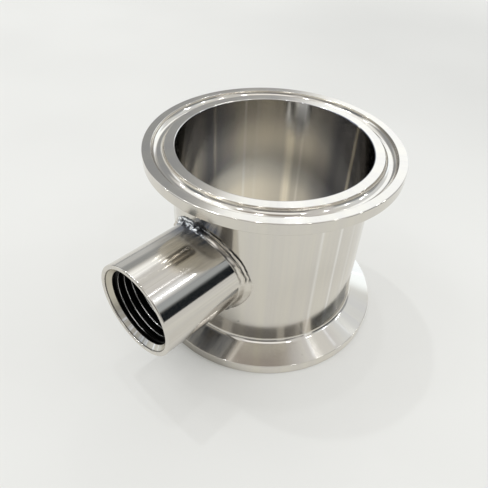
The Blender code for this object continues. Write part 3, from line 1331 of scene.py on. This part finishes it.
class SaddleBead:
    """The Geometry Nodes tree that lays a straight bead and bends it round the saddle of two cylinders.

    A turn is an angle about the branch, from its right-hand side up. A lean is an angle round the bead's
    section, from the tube's wall at 0 to the socket's at a quarter turn, with the open face between them.
    """

    INPUTS = {"Geometry": "Geometry", "Axis Origin": "Vector", "Tube Radius": "Float",
              "Socket Radius": "Float", "Leg": "Float", "Hollow": "Float", "Root": "Float",
              "Ridge Height": "Float", "Crinkle": "Float", "Steel": "Material"}
    STATIONS = 841
    SIDES = 112
    STRAIGHT_RADIUS = 0.001
    SEAM = 0.000002
    FACE_LEAN = math.pi / 4.0
    ROUND_SCALE = 9.0
    CORDS = (WeldCord(0.05, 0.5, 0.2, Patches(0.4, Fade(0.3, 0.6, 0.6, 1.0), 1.0)),
             WeldCord(0.45, 0.8, 0.27, Patches(0.55, Fade(0.35, 0.65, 0.5, 1.0), 1.0)))
    CORD_WIDTH = Fade(0.0, 0.16, 1.0, 0.0)
    WANDER = 0.4
    WANDER_SCALE = 0.9
    # Painted shade: dark lines at both toes, in the crease between the cords, and under the bead.
    CREASE = Fade(0.06, 0.19, 1.0, 0.0)
    TOES = (WeldToe(0.09, Fade(0.06, 0.21, 1.0, 0.0)), WeldToe(1.46, Fade(0.04, 0.15, 0.75, 0.0)))
    SHADE_PATCHES = Patches(0.5, Fade(0.3, 0.6, 0.5, 1.0))
    BENEATH = Fade(-0.85, -0.4, 1.0, 0.0)
    BENEATH_SHADE = 0.85
    GROUND_TURN = -0.3
    GROUND = Fade(0.86, 0.95)
    GROUND_HOLLOW = 1.4
    GROUND_LEG = 1.2
    RAW_TURN = math.pi / 2.0 + 0.25
    RAW = Fade(0.82, 0.93)
    RAW_SHARE = 0.95
    CRINKLE_SCALE = 1.7
    LEG_SWELL = Fade(-0.9, 0.1, 0.6, 1.0)

    def __init__(self) -> None:
        """Start the tree and find each point's turn, its lean and how far it is ground or out of reach."""
        self.tree = new_tree("Lay saddle weld", "GeometryNodeTree", self.INPUTS, {"Bead": "Geometry"})
        self.graph = graph = Graph(self.tree)
        self.source = graph.add("NodeGroupInput").outputs
        turn, side, rise = graph.split(graph.add("GeometryNodeInputPosition").outputs[0])
        self.cosine, self.sine = graph.math("COSINE", turn), graph.math("SINE", turn)
        way = graph.minus(graph.math("ARCTAN2", rise, side), self.FACE_LEAN)
        way = graph.math("WRAP", way, math.pi, -math.pi)
        across = graph.over(graph.times(way, graph.math("ABSOLUTE", way)), math.pi)
        self.lean = graph.plus(across, self.FACE_LEAN)
        self.around = graph.join(graph.times(self.cosine, self.ROUND_SCALE),
                                 graph.times(self.sine, self.ROUND_SCALE), 0.0)
        self.place = graph.vector("ADD", self.around, graph.join(0.0, 0.0, across))
        self.ground = graph.fade(self._facing(self.GROUND_TURN), self.GROUND)
        self.raw = graph.fade(self._facing(self.RAW_TURN), self.RAW)
        stray = graph.minus(graph.noise(self.around, self.WANDER_SCALE), 0.5)
        self.wavy = graph.plus(self.lean, graph.times(stray, self.WANDER))
        strays = [graph.noise(self.around, cord.stray_scale) for cord in self.CORDS]
        self.tops = [graph.plus(graph.times(share, cord.stray), cord.start)
                     for share, cord in zip(strays, self.CORDS)]

    def _facing(self, turn: float) -> NodeSocket:
        """Return how far a point faces a turn: 1 towards it and -1 away from it."""
        return self.graph.plus(self.graph.times(self.cosine, math.cos(turn)),
                               self.graph.times(self.sine, math.sin(turn)))

    def _lift(self) -> NodeSocket:
        """Work out the height of the cords and, where no buff reaches, of the crumpled top.

        Returns:
            The height above the plain face.
        """
        graph = self.graph
        cords = []
        for cord, top in zip(self.CORDS, self.tops):
            ridge = graph.fade(graph.apart(self.wavy, top), self.CORD_WIDTH)
            cords.append(graph.times(ridge, graph.patches(self.place, cord.swell)))
        ridges = graph.times(graph.plus(*cords), graph.minus(1.0, self.ground))
        crumple = graph.times(graph.minus(graph.noise(self.place, self.CRINKLE_SCALE), 0.5), self.raw)
        return graph.plus(graph.times(ridges, self.source["Ridge Height"]),
                          graph.times(crumple, self.source["Crinkle"]))

    def _size(self) -> NodeSocket:
        """Work out the section: a hollow face between two legs, with the cords on it.

        Returns:
            The distance of the bead's skin from the saddle line.
        """
        graph = self.graph
        open_side = graph.plus(graph.math("COSINE", self.lean), graph.math("SINE", self.lean))
        open_side = graph.most(open_side, 1.0)
        curve = graph.plus(self.source["Hollow"], graph.times(self.ground, self.GROUND_HOLLOW))
        hollow = graph.math("POWER", open_side, graph.times(curve, -1.0))
        leg = graph.times(self.source["Leg"], graph.fade(self.sine, self.LEG_SWELL))
        leg = graph.times(leg, graph.blend(self.ground, 1.0, self.GROUND_LEG))
        return graph.plus(graph.times(hollow, leg), self._lift())

    def _bent(self) -> NodeSocket:
        """Bend the bead round the saddle, with its root sunk a little into both walls.

        Returns:
            The new place of each point.
        """
        graph, source = self.graph, self.source
        size, root = self._size(), graph.times(source["Root"], -1.0)
        off_socket = graph.most(graph.times(size, graph.math("COSINE", self.lean)), root)
        off_tube = graph.most(graph.times(size, graph.math("SINE", self.lean)), root)
        from_branch = graph.plus(source["Socket Radius"], off_socket)
        from_run = graph.plus(source["Tube Radius"], off_tube)
        x, z = graph.times(from_branch, self.cosine), graph.times(from_branch, self.sine)
        along = graph.math("SQRT", graph.minus(graph.times(from_run, from_run), graph.times(x, x)))
        return graph.vector("ADD", graph.join(x, graph.times(along, -1.0), z), source["Axis Origin"])

    def _painted_shade(self) -> NodeSocket:
        """Lay painted shade on both toes, the crease between the cords and the underside.

        Returns:
            The share of painted shade at each point.
        """
        graph = self.graph
        near_tube, near_socket = (
            graph.fade(graph.apart(self.wavy, toe_shade.lean), toe_shade.fade) for toe_shade in self.TOES)
        between = graph.times(graph.plus(*self.tops), 0.5)
        crease = graph.fade(graph.apart(self.wavy, between), self.CREASE)
        painted_dark = graph.most(graph.most(near_tube, near_socket), crease)
        painted_dark = graph.times(painted_dark, graph.patches(self.place, self.SHADE_PATCHES))
        painted_dark = graph.times(painted_dark, graph.blend(self.ground, 1.0, 0.0))
        return graph.most(painted_dark, graph.times(graph.fade(self.sine, self.BENEATH), self.BENEATH_SHADE))

    def build(self) -> NodeTree:
        """Lay the bead, note its painted shade, bend it, close its seam and dress it.

        Returns:
            The tree.
        """
        graph = self.graph
        line = graph.add("GeometryNodeCurvePrimitiveLine", {"Start": (0.0, 0.0, 0.0),
                                                            "End": (math.tau, 0.0, 0.0)})
        path = graph.add("GeometryNodeResampleCurve", {"Curve": line.outputs[0], "Count": self.STATIONS})
        section = graph.add("GeometryNodeCurvePrimitiveCircle", {"Resolution": self.SIDES,
                                                                 "Radius": self.STRAIGHT_RADIUS})
        straight = graph.add("GeometryNodeCurveToMesh", {"Curve": path.outputs[0],
                                                         "Profile Curve": section.outputs[0]})
        bead = straight.outputs[0]
        raw = graph.times(self.raw, self.RAW_SHARE)
        for name, value in ((WELD_SHADE_NAME, self._painted_shade()), (RAW_NAME, raw), (GROUND_NAME, self.ground)):
            inputs = {"Geometry": bead, "Name": name, "Value": value}
            noted = graph.add("GeometryNodeStoreNamedAttribute", inputs, data_type="FLOAT", domain="POINT")
            bead = noted.outputs[0]
        laid = graph.add("GeometryNodeSetPosition", {"Geometry": bead, "Position": self._bent()})
        closed = graph.add("GeometryNodeMergeByDistance", {"Geometry": laid.outputs[0],
                                                           "Distance": self.SEAM})
        solid = graph.add("GeometryNodeRealizeInstances", {"Geometry": closed.outputs[0]})
        dressed = graph.add("GeometryNodeSetMaterial", {"Geometry": solid.outputs[0],
                                                        "Material": self.source["Steel"]})
        graph.add("NodeGroupOutput", {"Bead": dressed.outputs[0]})
        return self.tree


@dataclass
class ThreadedBranch:
    """The branch: a turned socket with a pipe thread, and the weld bead round its coped end.

    blank_start is where the socket's blank starts, as a share of the tube's radius, and row_pitch is the
    height of a row of facets in its bore.
    """

    sizes: FrameSizes
    thread_minor: float = 0.0093155
    thread_depth: float = 0.001162
    thread_pitch: float = 0.001814
    thread_length: float = 0.0152
    run_out: float = 0.0016
    mouth_radius: float = 0.010836
    mouth_edge: float = 0.0003
    valley: float = 0.00032
    countersink: float = 0.00205
    countersink_rows: int = 28
    edge: float = 0.00035
    seat_depth: float = 0.00012
    blank_start: float = 0.85
    row_pitch: float = 0.00008
    bead_leg: float = 0.00148
    bead_hollow: float = 1.3
    bead_root: float = 0.0003
    ridge_height: float = 0.0004
    crinkle: float = 0.0009
    socket_streaking: float = 0.3
    steps: int = 240

    def socket(self, steel: Material, thread: Material) -> Object:
        """Turn the socket, cope its inner end on the tube and cut its thread.

        Args:
            steel: polished finish of the outside and the end face.
            thread: finish of the thread.

        Returns:
            The socket.
        """
        reach, outside = self.sizes.socket_reach, self.sizes.socket_radius
        inner_end = self.sizes.tube_radius * self.blank_start
        sink = reach - self.countersink
        rows = round((sink - inner_end) / self.row_pitch)
        section = Section([
            Corner(self.thread_minor, inner_end),
            Corner(outside, inner_end),
            Corner(outside, reach, self.edge),
            Corner(self.mouth_radius, reach, self.mouth_edge),
            Corner(self.mouth_radius, reach - self.valley, 0.0, self.countersink_rows, True),
            Corner(self.thread_minor, sink, 0.0, rows, True),
        ])
        axis = self.sizes.branch_axis()
        piece = axis.turn("threaded_socket", section, self.steps)
        self._cope(piece.data, inner_end)
        blank = np.array([vertex.co for vertex in piece.data.vertices])
        run_nodes(piece, ThreadCutter().build(), {
            "Axis Origin": tuple(axis.origin), "Minor Radius": self.thread_minor,
            "Depth": self.thread_depth, "Pitch": self.thread_pitch, "Mouth": reach,
            "Mouth Radius": self.mouth_radius, "Sink": self.countersink, "Length": self.thread_length,
            "Run Out": self.run_out, "Steel": steel, "Thread": thread,
        })
        self._true_socket(piece.data, blank)
        return piece

    def _cope(self, mesh: Mesh, inner_end: float) -> None:
        """Move the flat inner end on to the tube's round outside.

        Args:
            mesh: the turned socket.
            inner_end: distance of its inner end from the run axis.
        """
        seat = self.sizes.tube_radius - self.seat_depth
        for vertex in mesh.vertices:
            if abs(self.sizes.run_y - vertex.co.y - inner_end) < SAME_PLACE:
                vertex.co.y = self.sizes.run_y - math.sqrt(seat * seat - vertex.co.x ** 2)

    @staticmethod
    def _true_socket(mesh: Mesh, blank: np.ndarray) -> None:
        """Shade the turned faces by their true normals and the cut thread by its own shape.

        Args:
            mesh: the threaded socket.
            blank: places of the same vertices before the thread was cut.
        """
        smooth(mesh)
        normals = corner_vectors(mesh, NORMAL_NAME)
        places = np.array([vertex.co for vertex in mesh.vertices])
        moved = np.linalg.norm(places - blank, axis=1) > SAME_PLACE
        for face in mesh.polygons:
            if moved[list(face.vertices)].any():
                for loop, vertex in zip(face.loop_indices, face.vertices):
                    normals[loop] = mesh.vertices[vertex].normal
        smooth(mesh, normals)
        drop_notes(mesh)

    def weld(self, steel: Material) -> Object:
        """Lay the weld bead along the saddle line.

        Args:
            steel: finish of the bead.

        Returns:
            The bead.
        """
        piece = add_piece("saddle_weld_bead", bpy.data.meshes.new("saddle_weld_bead"))
        run_nodes(piece, SaddleBead().build(), {
            "Axis Origin": tuple(self.sizes.branch_axis().origin), "Tube Radius": self.sizes.tube_radius,
            "Socket Radius": self.sizes.socket_radius, "Leg": self.bead_leg, "Hollow": self.bead_hollow,
            "Root": self.bead_root, "Ridge Height": self.ridge_height, "Crinkle": self.crinkle,
            "Steel": steel,
        })
        shape = bmesh.new()
        shape.from_mesh(piece.data)
        bmesh.ops.recalc_face_normals(shape, faces=shape.faces)
        shape.to_mesh(piece.data)
        shape.free()
        smooth(piece.data)
        return piece

    def build(self, marks: SurfaceMarks) -> list[Object]:
        """Build and dress the branch.

        Args:
            marks: shared groups of surface marks.

        Returns:
            The finished pieces.
        """
        polished = PolishedSteel("polished_socket_steel", GrainAxis.BRANCH, streaking=self.socket_streaking)
        reach = self.sizes.socket_reach
        cut = CutThread(
            minor=self.thread_minor, depth=self.thread_depth, sink=reach - self.countersink,
            lip=reach - self.valley,
            slope=(self.mouth_radius - self.thread_minor) / (self.countersink - self.valley))
        socket = self.socket(polished.build(self.sizes, marks), cut.build(self.sizes, marks))
        hand_over(socket, None, "branch_socket")
        bead = self.weld(WeldSteel().build(self.sizes, marks))
        hand_over(bead, None, "branch_weld")
        return [socket, bead]


def hand_over(piece: Object, finish: Material | None, node: str) -> None:
    """Give a piece its finish and its place in the frame.

    Args:
        piece: the finished piece.
        finish: material for the whole piece, or None where its mesh already carries it.
        node: CAD node that it replaces.
    """
    if finish is not None:
        piece.data.materials.clear()
        piece.data.materials.append(finish)
    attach(piece, "root")
    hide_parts(node)
    log.info("%s replaces %s: %d faces", piece.name, node, len(piece.data.polygons))


@dataclass(frozen=True)
class Panel:
    """A soft-edged patch of the studio's surround, as seen from the tee.

    azimuth is 0 straight away from the camera and grows to its right; all angles are in degrees. cool is
    the patch's blue against its red, and lean is how far it shifts to the right for each degree of rise.
    """

    azimuth: float
    elevation: float
    half_width: float
    half_height: float
    tone: float
    edge: float = 3.0
    cool: float = 1.0
    lean: float = 0.0

    def cover(self, azimuth: np.ndarray, elevation: np.ndarray) -> np.ndarray:
        """Say how far the panel covers each direction.

        Args:
            azimuth: azimuths of the directions.
            elevation: their elevations.

        Returns:
            One number from 0 to 1 for each direction.
        """
        middle = self.azimuth + self.lean * (elevation - self.elevation)
        aside = np.abs((azimuth - middle + 180.0) % 360.0 - 180.0)
        above = np.abs(elevation - self.elevation)
        wide = np.clip((self.half_width + self.edge / 2.0 - aside) / self.edge, 0.0, 1.0)
        high = np.clip((self.half_height + self.edge / 2.0 - above) / self.edge, 0.0, 1.0)
        return wide * wide * (3.0 - 2.0 * wide) * high * high * (3.0 - 2.0 * high)

    def colour(self) -> np.ndarray:
        """Return the patch's red, green and blue."""
        shift = (self.cool - 1.0) / (self.cool + 1.0)
        return self.tone * np.array((1.0 - shift, 1.0, 1.0 + shift))


SURROUND = (
    Panel(-58.0, 59.0, 58.0, 14.0, 1.4, 8.0, 1.05),
    Panel(-34.0, 16.0, 28.0, 23.0, 0.42, 5.0, 1.08),
    Panel(-26.0, 11.0, 9.0, 11.0, 0.68, 6.0, 1.05),
    Panel(-74.0, 17.0, 6.0, 14.0, 1.4, 4.0, 1.1),
    Panel(-98.0, 22.0, 13.0, 16.0, 0.22, 6.0, 1.25),
    Panel(-133.0, 48.0, 16.0, 12.0, 1.0, 6.0),
    Panel(-133.0, 15.0, 18.0, 20.0, 0.28, 8.0),
    Panel(57.0, 40.0, 26.0, 14.0, 0.97, 8.0, 1.08),
    Panel(-2.0, 19.0, 7.5, 9.0, 0.4, 5.0, 1.06),
    Panel(17.6, 28.0, 13.0, 14.0, 1.52, 3.0, 1.08, -0.95),
    Panel(38.0, 13.0, 9.0, 13.0, 1.58, 6.0, 1.16),
    Panel(52.0, 6.0, 8.0, 8.0, 1.3, 3.0, 1.1),
    Panel(75.0, 15.0, 14.0, 17.0, 0.46, 4.0, 1.1),
    Panel(72.0, 60.0, 24.0, 8.0, 0.86, 8.0),
    Panel(104.0, 22.0, 16.0, 11.0, 0.5, 6.0, 1.15),
    Panel(96.0, 42.0, 11.0, 6.0, 1.28, 5.0, 1.08),
    Panel(172.0, 53.0, 30.0, 12.0, 1.4, 8.0),
    Panel(172.0, 21.0, 26.0, 18.0, 0.25, 8.0, 0.95),
    Panel(150.0, 87.0, 180.0, 13.0, 0.37, 13.0, 0.82),
    Panel(168.0, 8.0, 62.0, 11.0, 0.27, 3.0),
    Panel(127.0, 9.0, 5.0, 10.0, 1.05, 2.0),
    Panel(138.0, 9.0, 3.0, 9.0, 0.5, 2.0),
    Panel(158.0, 9.0, 4.0, 9.0, 0.62, 2.0),
    Panel(-141.0, 9.0, 6.0, 10.0, 0.56, 2.0),
    Panel(104.0, 4.5, 17.0, 12.0, 0.015, 8.0, 1.7),
)


@dataclass(frozen=True)
class Lamp:
    """A small round lamp, placed by the same angles as a panel, with its power in watts and its width."""

    azimuth: float
    elevation: float
    power: float = 0.55
    size: float = 0.085


LAMPS = (
    Lamp(-42.0, 66.4, 2.7, 0.045), Lamp(-12.0, 78.7, 1.6, 0.05), Lamp(11.0, 50.0), Lamp(-138.0, 60.0),
    Lamp(-102.0, 60.0), Lamp(-75.0, 60.0), Lamp(-62.0, 44.0), Lamp(-84.0, 50.0), Lamp(134.0, 60.0),
    Lamp(100.0, 58.0), Lamp(95.0, 40.0), Lamp(75.0, 38.0), Lamp(78.0, 28.0),
)


@dataclass(frozen=True)
class PaleFloor:
    """Finish of the pale table: lit by the studio, and evened out where the camera or the steel sees it, with
    a painted shadow under the branch that only the steel's reflections show.

    The well is the round of table inside the run's bore, where a warm glow, brightest in its middle, is a
    painted pool of light. Evening is the share of its own even glow that the table shows where the tee
    doesn't close it in, and glow is how bright that is.
    """

    sizes: FrameSizes
    tone: Colour = (0.8, 0.796, 0.763)
    clouds: Patches = Patches(9.0, Fade(0.3, 0.7))
    cloud_shade: float = 0.965
    # A painted shadow on the table towards the far corner: its middle, its reach and its colour.
    corner_shadow_centre: Place = (-0.054, 0.257, 0.0)
    corner_shadow_reach: Fade = Fade(0.04, 0.22, 0.14, 0.0)
    corner_shadow: Colour = (0.1, 0.1, 0.1)
    under_branch: Fade = Fade(0.009, 0.02, 1.0, 0.0)
    closed_in: Fade = Fade(0.5, 0.72, 0.4, 0.0)
    # Colour of the painted shadow under the branch.
    branch_shadow: Colour = (0.1, 0.1, 0.09)
    sky_reach: float = 0.032
    sky_samples: int = 8
    bore_margin: float = 0.001
    # Painted pool of warm light on the table inside the bore, and how it fades from the middle to the wall.
    well_painted_light: Colour = (0.86, 0.8, 0.67)
    well: Fade = Fade(0.0095, 0.0175, 0.62, 0.1)
    open_floor: Fade = Fade(0.3, 0.66)
    seen_glow: float = 1.02
    mirrored_glow: float = 1.09
    seen_evening: float = 0.48
    mirrored_evening: Fade = Fade(0.84, 0.95, 0.9, 0.45)
    roughness: float = 0.5
    gloss: float = 0.2

    def build(self) -> Material:
        """Build the material.

        Returns:
            The new material.
        """
        material, graph, shader = new_finish("pale_floor", 0.0)
        place = graph.add("ShaderNodeTexCoord").outputs["Object"]
        path = graph.add("ShaderNodeLightPath").outputs
        mirrored = path["Is Glossy Ray"]
        open_sky = graph.add("ShaderNodeAmbientOcclusion", {"Distance": self.sky_reach},
                             samples=self.sky_samples).outputs["AO"]
        from_run = graph.vector("DISTANCE", place, (0.0, self.sizes.run_y, 0.0))
        outside = graph.ease(from_run, self.sizes.tube_radius - self.bore_margin, self.sizes.tube_radius)

        # Painted shadow under the branch, seen only in the steel's reflections.
        aside = graph.math("ABSOLUTE", graph.split(place)[0])
        beneath = graph.times(graph.fade(aside, self.under_branch), outside)
        branch_shadow = graph.times(graph.times(graph.fade(open_sky, self.closed_in), beneath), mirrored)
        tone = graph.mix_colour(branch_shadow, self._cloudy(graph, place), self.branch_shadow)
        graph.feed(shader.inputs["Base Color"], tone)
        shader.inputs["Roughness"].default_value = self.roughness
        shader.inputs["Specular IOR Level"].default_value = self.gloss

        # Inside the bore the table's warm glow, brightest in the middle, is a painted pool of light.
        even = graph.add("ShaderNodeEmission", {
            "Color": graph.mix_colour(outside, self.well_painted_light, tone),
            "Strength": graph.blend(mirrored, self.seen_glow, self.mirrored_glow)})
        seen = graph.most(graph.most(path["Is Camera Ray"], mirrored), path["Is Transmission Ray"])
        lit = graph.blend(outside, graph.fade(from_run, self.well), graph.fade(open_sky, self.open_floor))
        evening = graph.blend(mirrored, self.seen_evening, graph.fade(open_sky, self.mirrored_evening))
        share = graph.times(seen, graph.times(lit, evening))
        both = graph.add("ShaderNodeMixShader", {0: share, 1: shader.outputs[0], 2: even.outputs[0]})
        output = find_node(material.node_tree, "OUTPUT_MATERIAL")
        graph.feed(output.inputs["Surface"], both.outputs[0])
        return material

    def _cloudy(self, graph: Graph, place: NodeSocket) -> NodeSocket:
        """Make the table's own colour, faintly cloudy, with a painted shadow towards the far corner.

        Args:
            graph: graph of the material.
            place: place on the table.

        Returns:
            The colour.
        """
        shade = tuple(channel * self.cloud_shade for channel in self.tone)
        cloudy = graph.mix_colour(graph.patches(place, self.clouds), self.tone, shade)
        # Painted shadow towards the far corner.
        from_corner_shadow = graph.vector("DISTANCE", place, self.corner_shadow_centre)
        return graph.mix_colour(graph.fade(from_corner_shadow, self.corner_shadow_reach), cloudy, self.corner_shadow)


@dataclass
class Studio:
    """Camera, pale floor, soft surround and the small lamps that sparkle in the steel.

    The surround is a dome of facets dome_step wide, in degrees, from dome_start up.
    """

    sizes: FrameSizes
    camera_azimuth: float = math.radians(41.17)
    camera_elevation: float = math.radians(41.01)
    camera_roll: float = math.radians(2.78)
    camera_distance: float = 0.13278
    aim: Place = (-0.00034, -0.00208, 0.0224)
    lens: float = 36.21
    sensor: float = 36.0
    nearest: float = 0.005
    floor_radius: float = 0.48
    floor_steps: int = 128
    dome_radius: float = 25.0
    dome_step: float = 1.5
    dome_start: float = -12.0
    base_tone: float = 0.8
    lamp_distance: float = 1.6
    lamp_tint: Colour = (0.97, 1.0, 1.04)

    def camera(self) -> None:
        """Place the camera at the photograph's viewing angle."""
        right = Vector((math.cos(self.camera_azimuth), math.sin(self.camera_azimuth), 0.0))
        away = Vector((-math.sin(self.camera_azimuth), math.cos(self.camera_azimuth), 0.0))
        back = Vector((0.0, 0.0, math.sin(self.camera_elevation))) - away * math.cos(self.camera_elevation)
        up = back.cross(right)
        side = right * math.cos(self.camera_roll) + up * math.sin(self.camera_roll)
        top = up * math.cos(self.camera_roll) - right * math.sin(self.camera_roll)
        data = bpy.data.cameras.new("photo_camera")
        data.lens = self.lens
        data.sensor_width = self.sensor
        data.clip_start = self.nearest
        data.dof.use_dof = False
        camera = bpy.data.objects.new("photo_camera", data)
        turned = Matrix((side, top, back)).transposed().to_4x4()
        camera.matrix_world = Matrix.Translation(Vector(self.aim) + back * self.camera_distance) @ turned
        bpy.context.scene.collection.objects.link(camera)
        bpy.context.scene.camera = camera

    def direction(self, azimuth: float, elevation: float) -> Vector:
        """Turn a panel's angles into a direction.

        Args:
            azimuth: degrees to the right of straight away from the camera.
            elevation: degrees above the table.

        Returns:
            The direction, of length 1.
        """
        turn, rise = self.camera_azimuth - math.radians(azimuth), math.radians(elevation)
        level = math.cos(rise)
        return Vector((-math.sin(turn) * level, math.cos(turn) * level, math.sin(rise)))

    def floor(self, finish: PaleFloor) -> None:
        """Lay a pale round table under the tee.

        Args:
            finish: finish of the table.
        """
        shape = bmesh.new()
        bmesh.ops.create_circle(shape, cap_ends=True, radius=self.floor_radius, segments=self.floor_steps)
        mesh = bpy.data.meshes.new("pale_floor")
        shape.to_mesh(mesh)
        shape.free()
        mesh.materials.append(finish.build())
        add_piece("pale_floor", mesh)

    def surround(self) -> None:
        """Raise the dome of soft panels that lights the tee, unseen by the camera itself."""
        turns = np.arange(-180.0, 180.0, self.dome_step)
        rises = np.arange(self.dome_start, 90.0 - self.dome_step / 2.0, self.dome_step)
        elevation, azimuth = (grid.ravel() for grid in np.meshgrid(rises, turns, indexing="ij"))
        places = [self.direction(turn, rise) * self.dome_radius for turn, rise in zip(azimuth, elevation)]
        count = len(turns)
        top = len(places)
        quads = [(row * count + i, row * count + (i + 1) % count, (row + 1) * count + (i + 1) % count,
                  (row + 1) * count + i) for row in range(len(rises) - 1) for i in range(count)]
        cap = [(top - count + i, top - count + (i + 1) % count, top) for i in range(count)]
        mesh = bpy.data.meshes.new("studio_surround")
        mesh.from_pydata(places + [(0.0, 0.0, self.dome_radius)], [], quads + cap)
        elevation, azimuth = np.append(elevation, 90.0), np.append(azimuth, 180.0)
        colours = np.full((top + 1, 4), self.base_tone)
        for panel in SURROUND:
            share = panel.cover(azimuth, elevation)[:, None]
            colours[:, :3] += (panel.colour() - colours[:, :3]) * share
        colours[:, 3] = 1.0
        mesh.color_attributes.new("tone", "FLOAT_COLOR", "POINT").data.foreach_set("color", colours.ravel())
        mesh.materials.append(self._glow())
        dome = add_piece("studio_surround", mesh)
        dome.visible_camera = False

    @staticmethod
    def _glow() -> Material:
        """Build the surround's own light from its painted tones.

        Returns:
            The new material.
        """
        material = bpy.data.materials.new("studio_surround")
        material.use_nodes = True
        material.cycles.emission_sampling = "NONE"
        graph = Graph(material.node_tree)
        material.node_tree.nodes.clear()
        tone = graph.add("ShaderNodeVertexColor", layer_name="tone")
        glow = graph.add("ShaderNodeEmission", {"Color": tone.outputs["Color"], "Strength": 1.0})
        graph.add("ShaderNodeOutputMaterial", {"Surface": glow.outputs[0]})
        return material

    @staticmethod
    def backdrop(tone: Colour) -> None:
        """Set the plain pale tone behind the floor's far edge.

        Args:
            tone: red, green and blue.
        """
        world = bpy.data.worlds.new("pale_backdrop")
        world.use_nodes = True
        find_node(world.node_tree, "BACKGROUND").inputs["Color"].default_value = (*tone, 1.0)
        bpy.context.scene.world = world

    def lamps(self) -> None:
        """Hang the small round lamps round the tee."""
        for index, spec in enumerate(LAMPS):
            way = self.direction(spec.azimuth, spec.elevation)
            data = bpy.data.lights.new(f"small_lamp_{index}", "AREA")
            data.shape = "DISK"
            data.size = spec.size
            data.energy = spec.power
            data.color = self.lamp_tint
            lamp = bpy.data.objects.new(data.name, data)
            lamp.location = Vector(self.aim) + way * self.lamp_distance
            lamp.rotation_euler = way.to_track_quat("Z", "Y").to_euler()
            lamp.visible_camera = False
            bpy.context.scene.collection.objects.link(lamp)

    def build(self) -> None:
        """Set up the whole studio."""
        bpy.context.scene.view_settings.view_transform = "Standard"
        finish = PaleFloor(self.sizes)
        self.camera()
        self.floor(finish)
        self.surround()
        self.backdrop(finish.tone)
        self.lamps()
        log.info("studio is set up")


def main() -> None:
    """Build the studio and the tee, and report each piece."""
    logging.basicConfig(level=logging.INFO, format="%(name)s: %(message)s")
    sizes = FrameSizes.measure()
    marks = SurfaceMarks()
    Studio(sizes).build()
    pieces = ClampRun(sizes).build(marks) + ThreadedBranch(sizes).build(marks)
    log.info("%d pieces dressed", len(pieces))


if __name__ == "__main__":
    main()
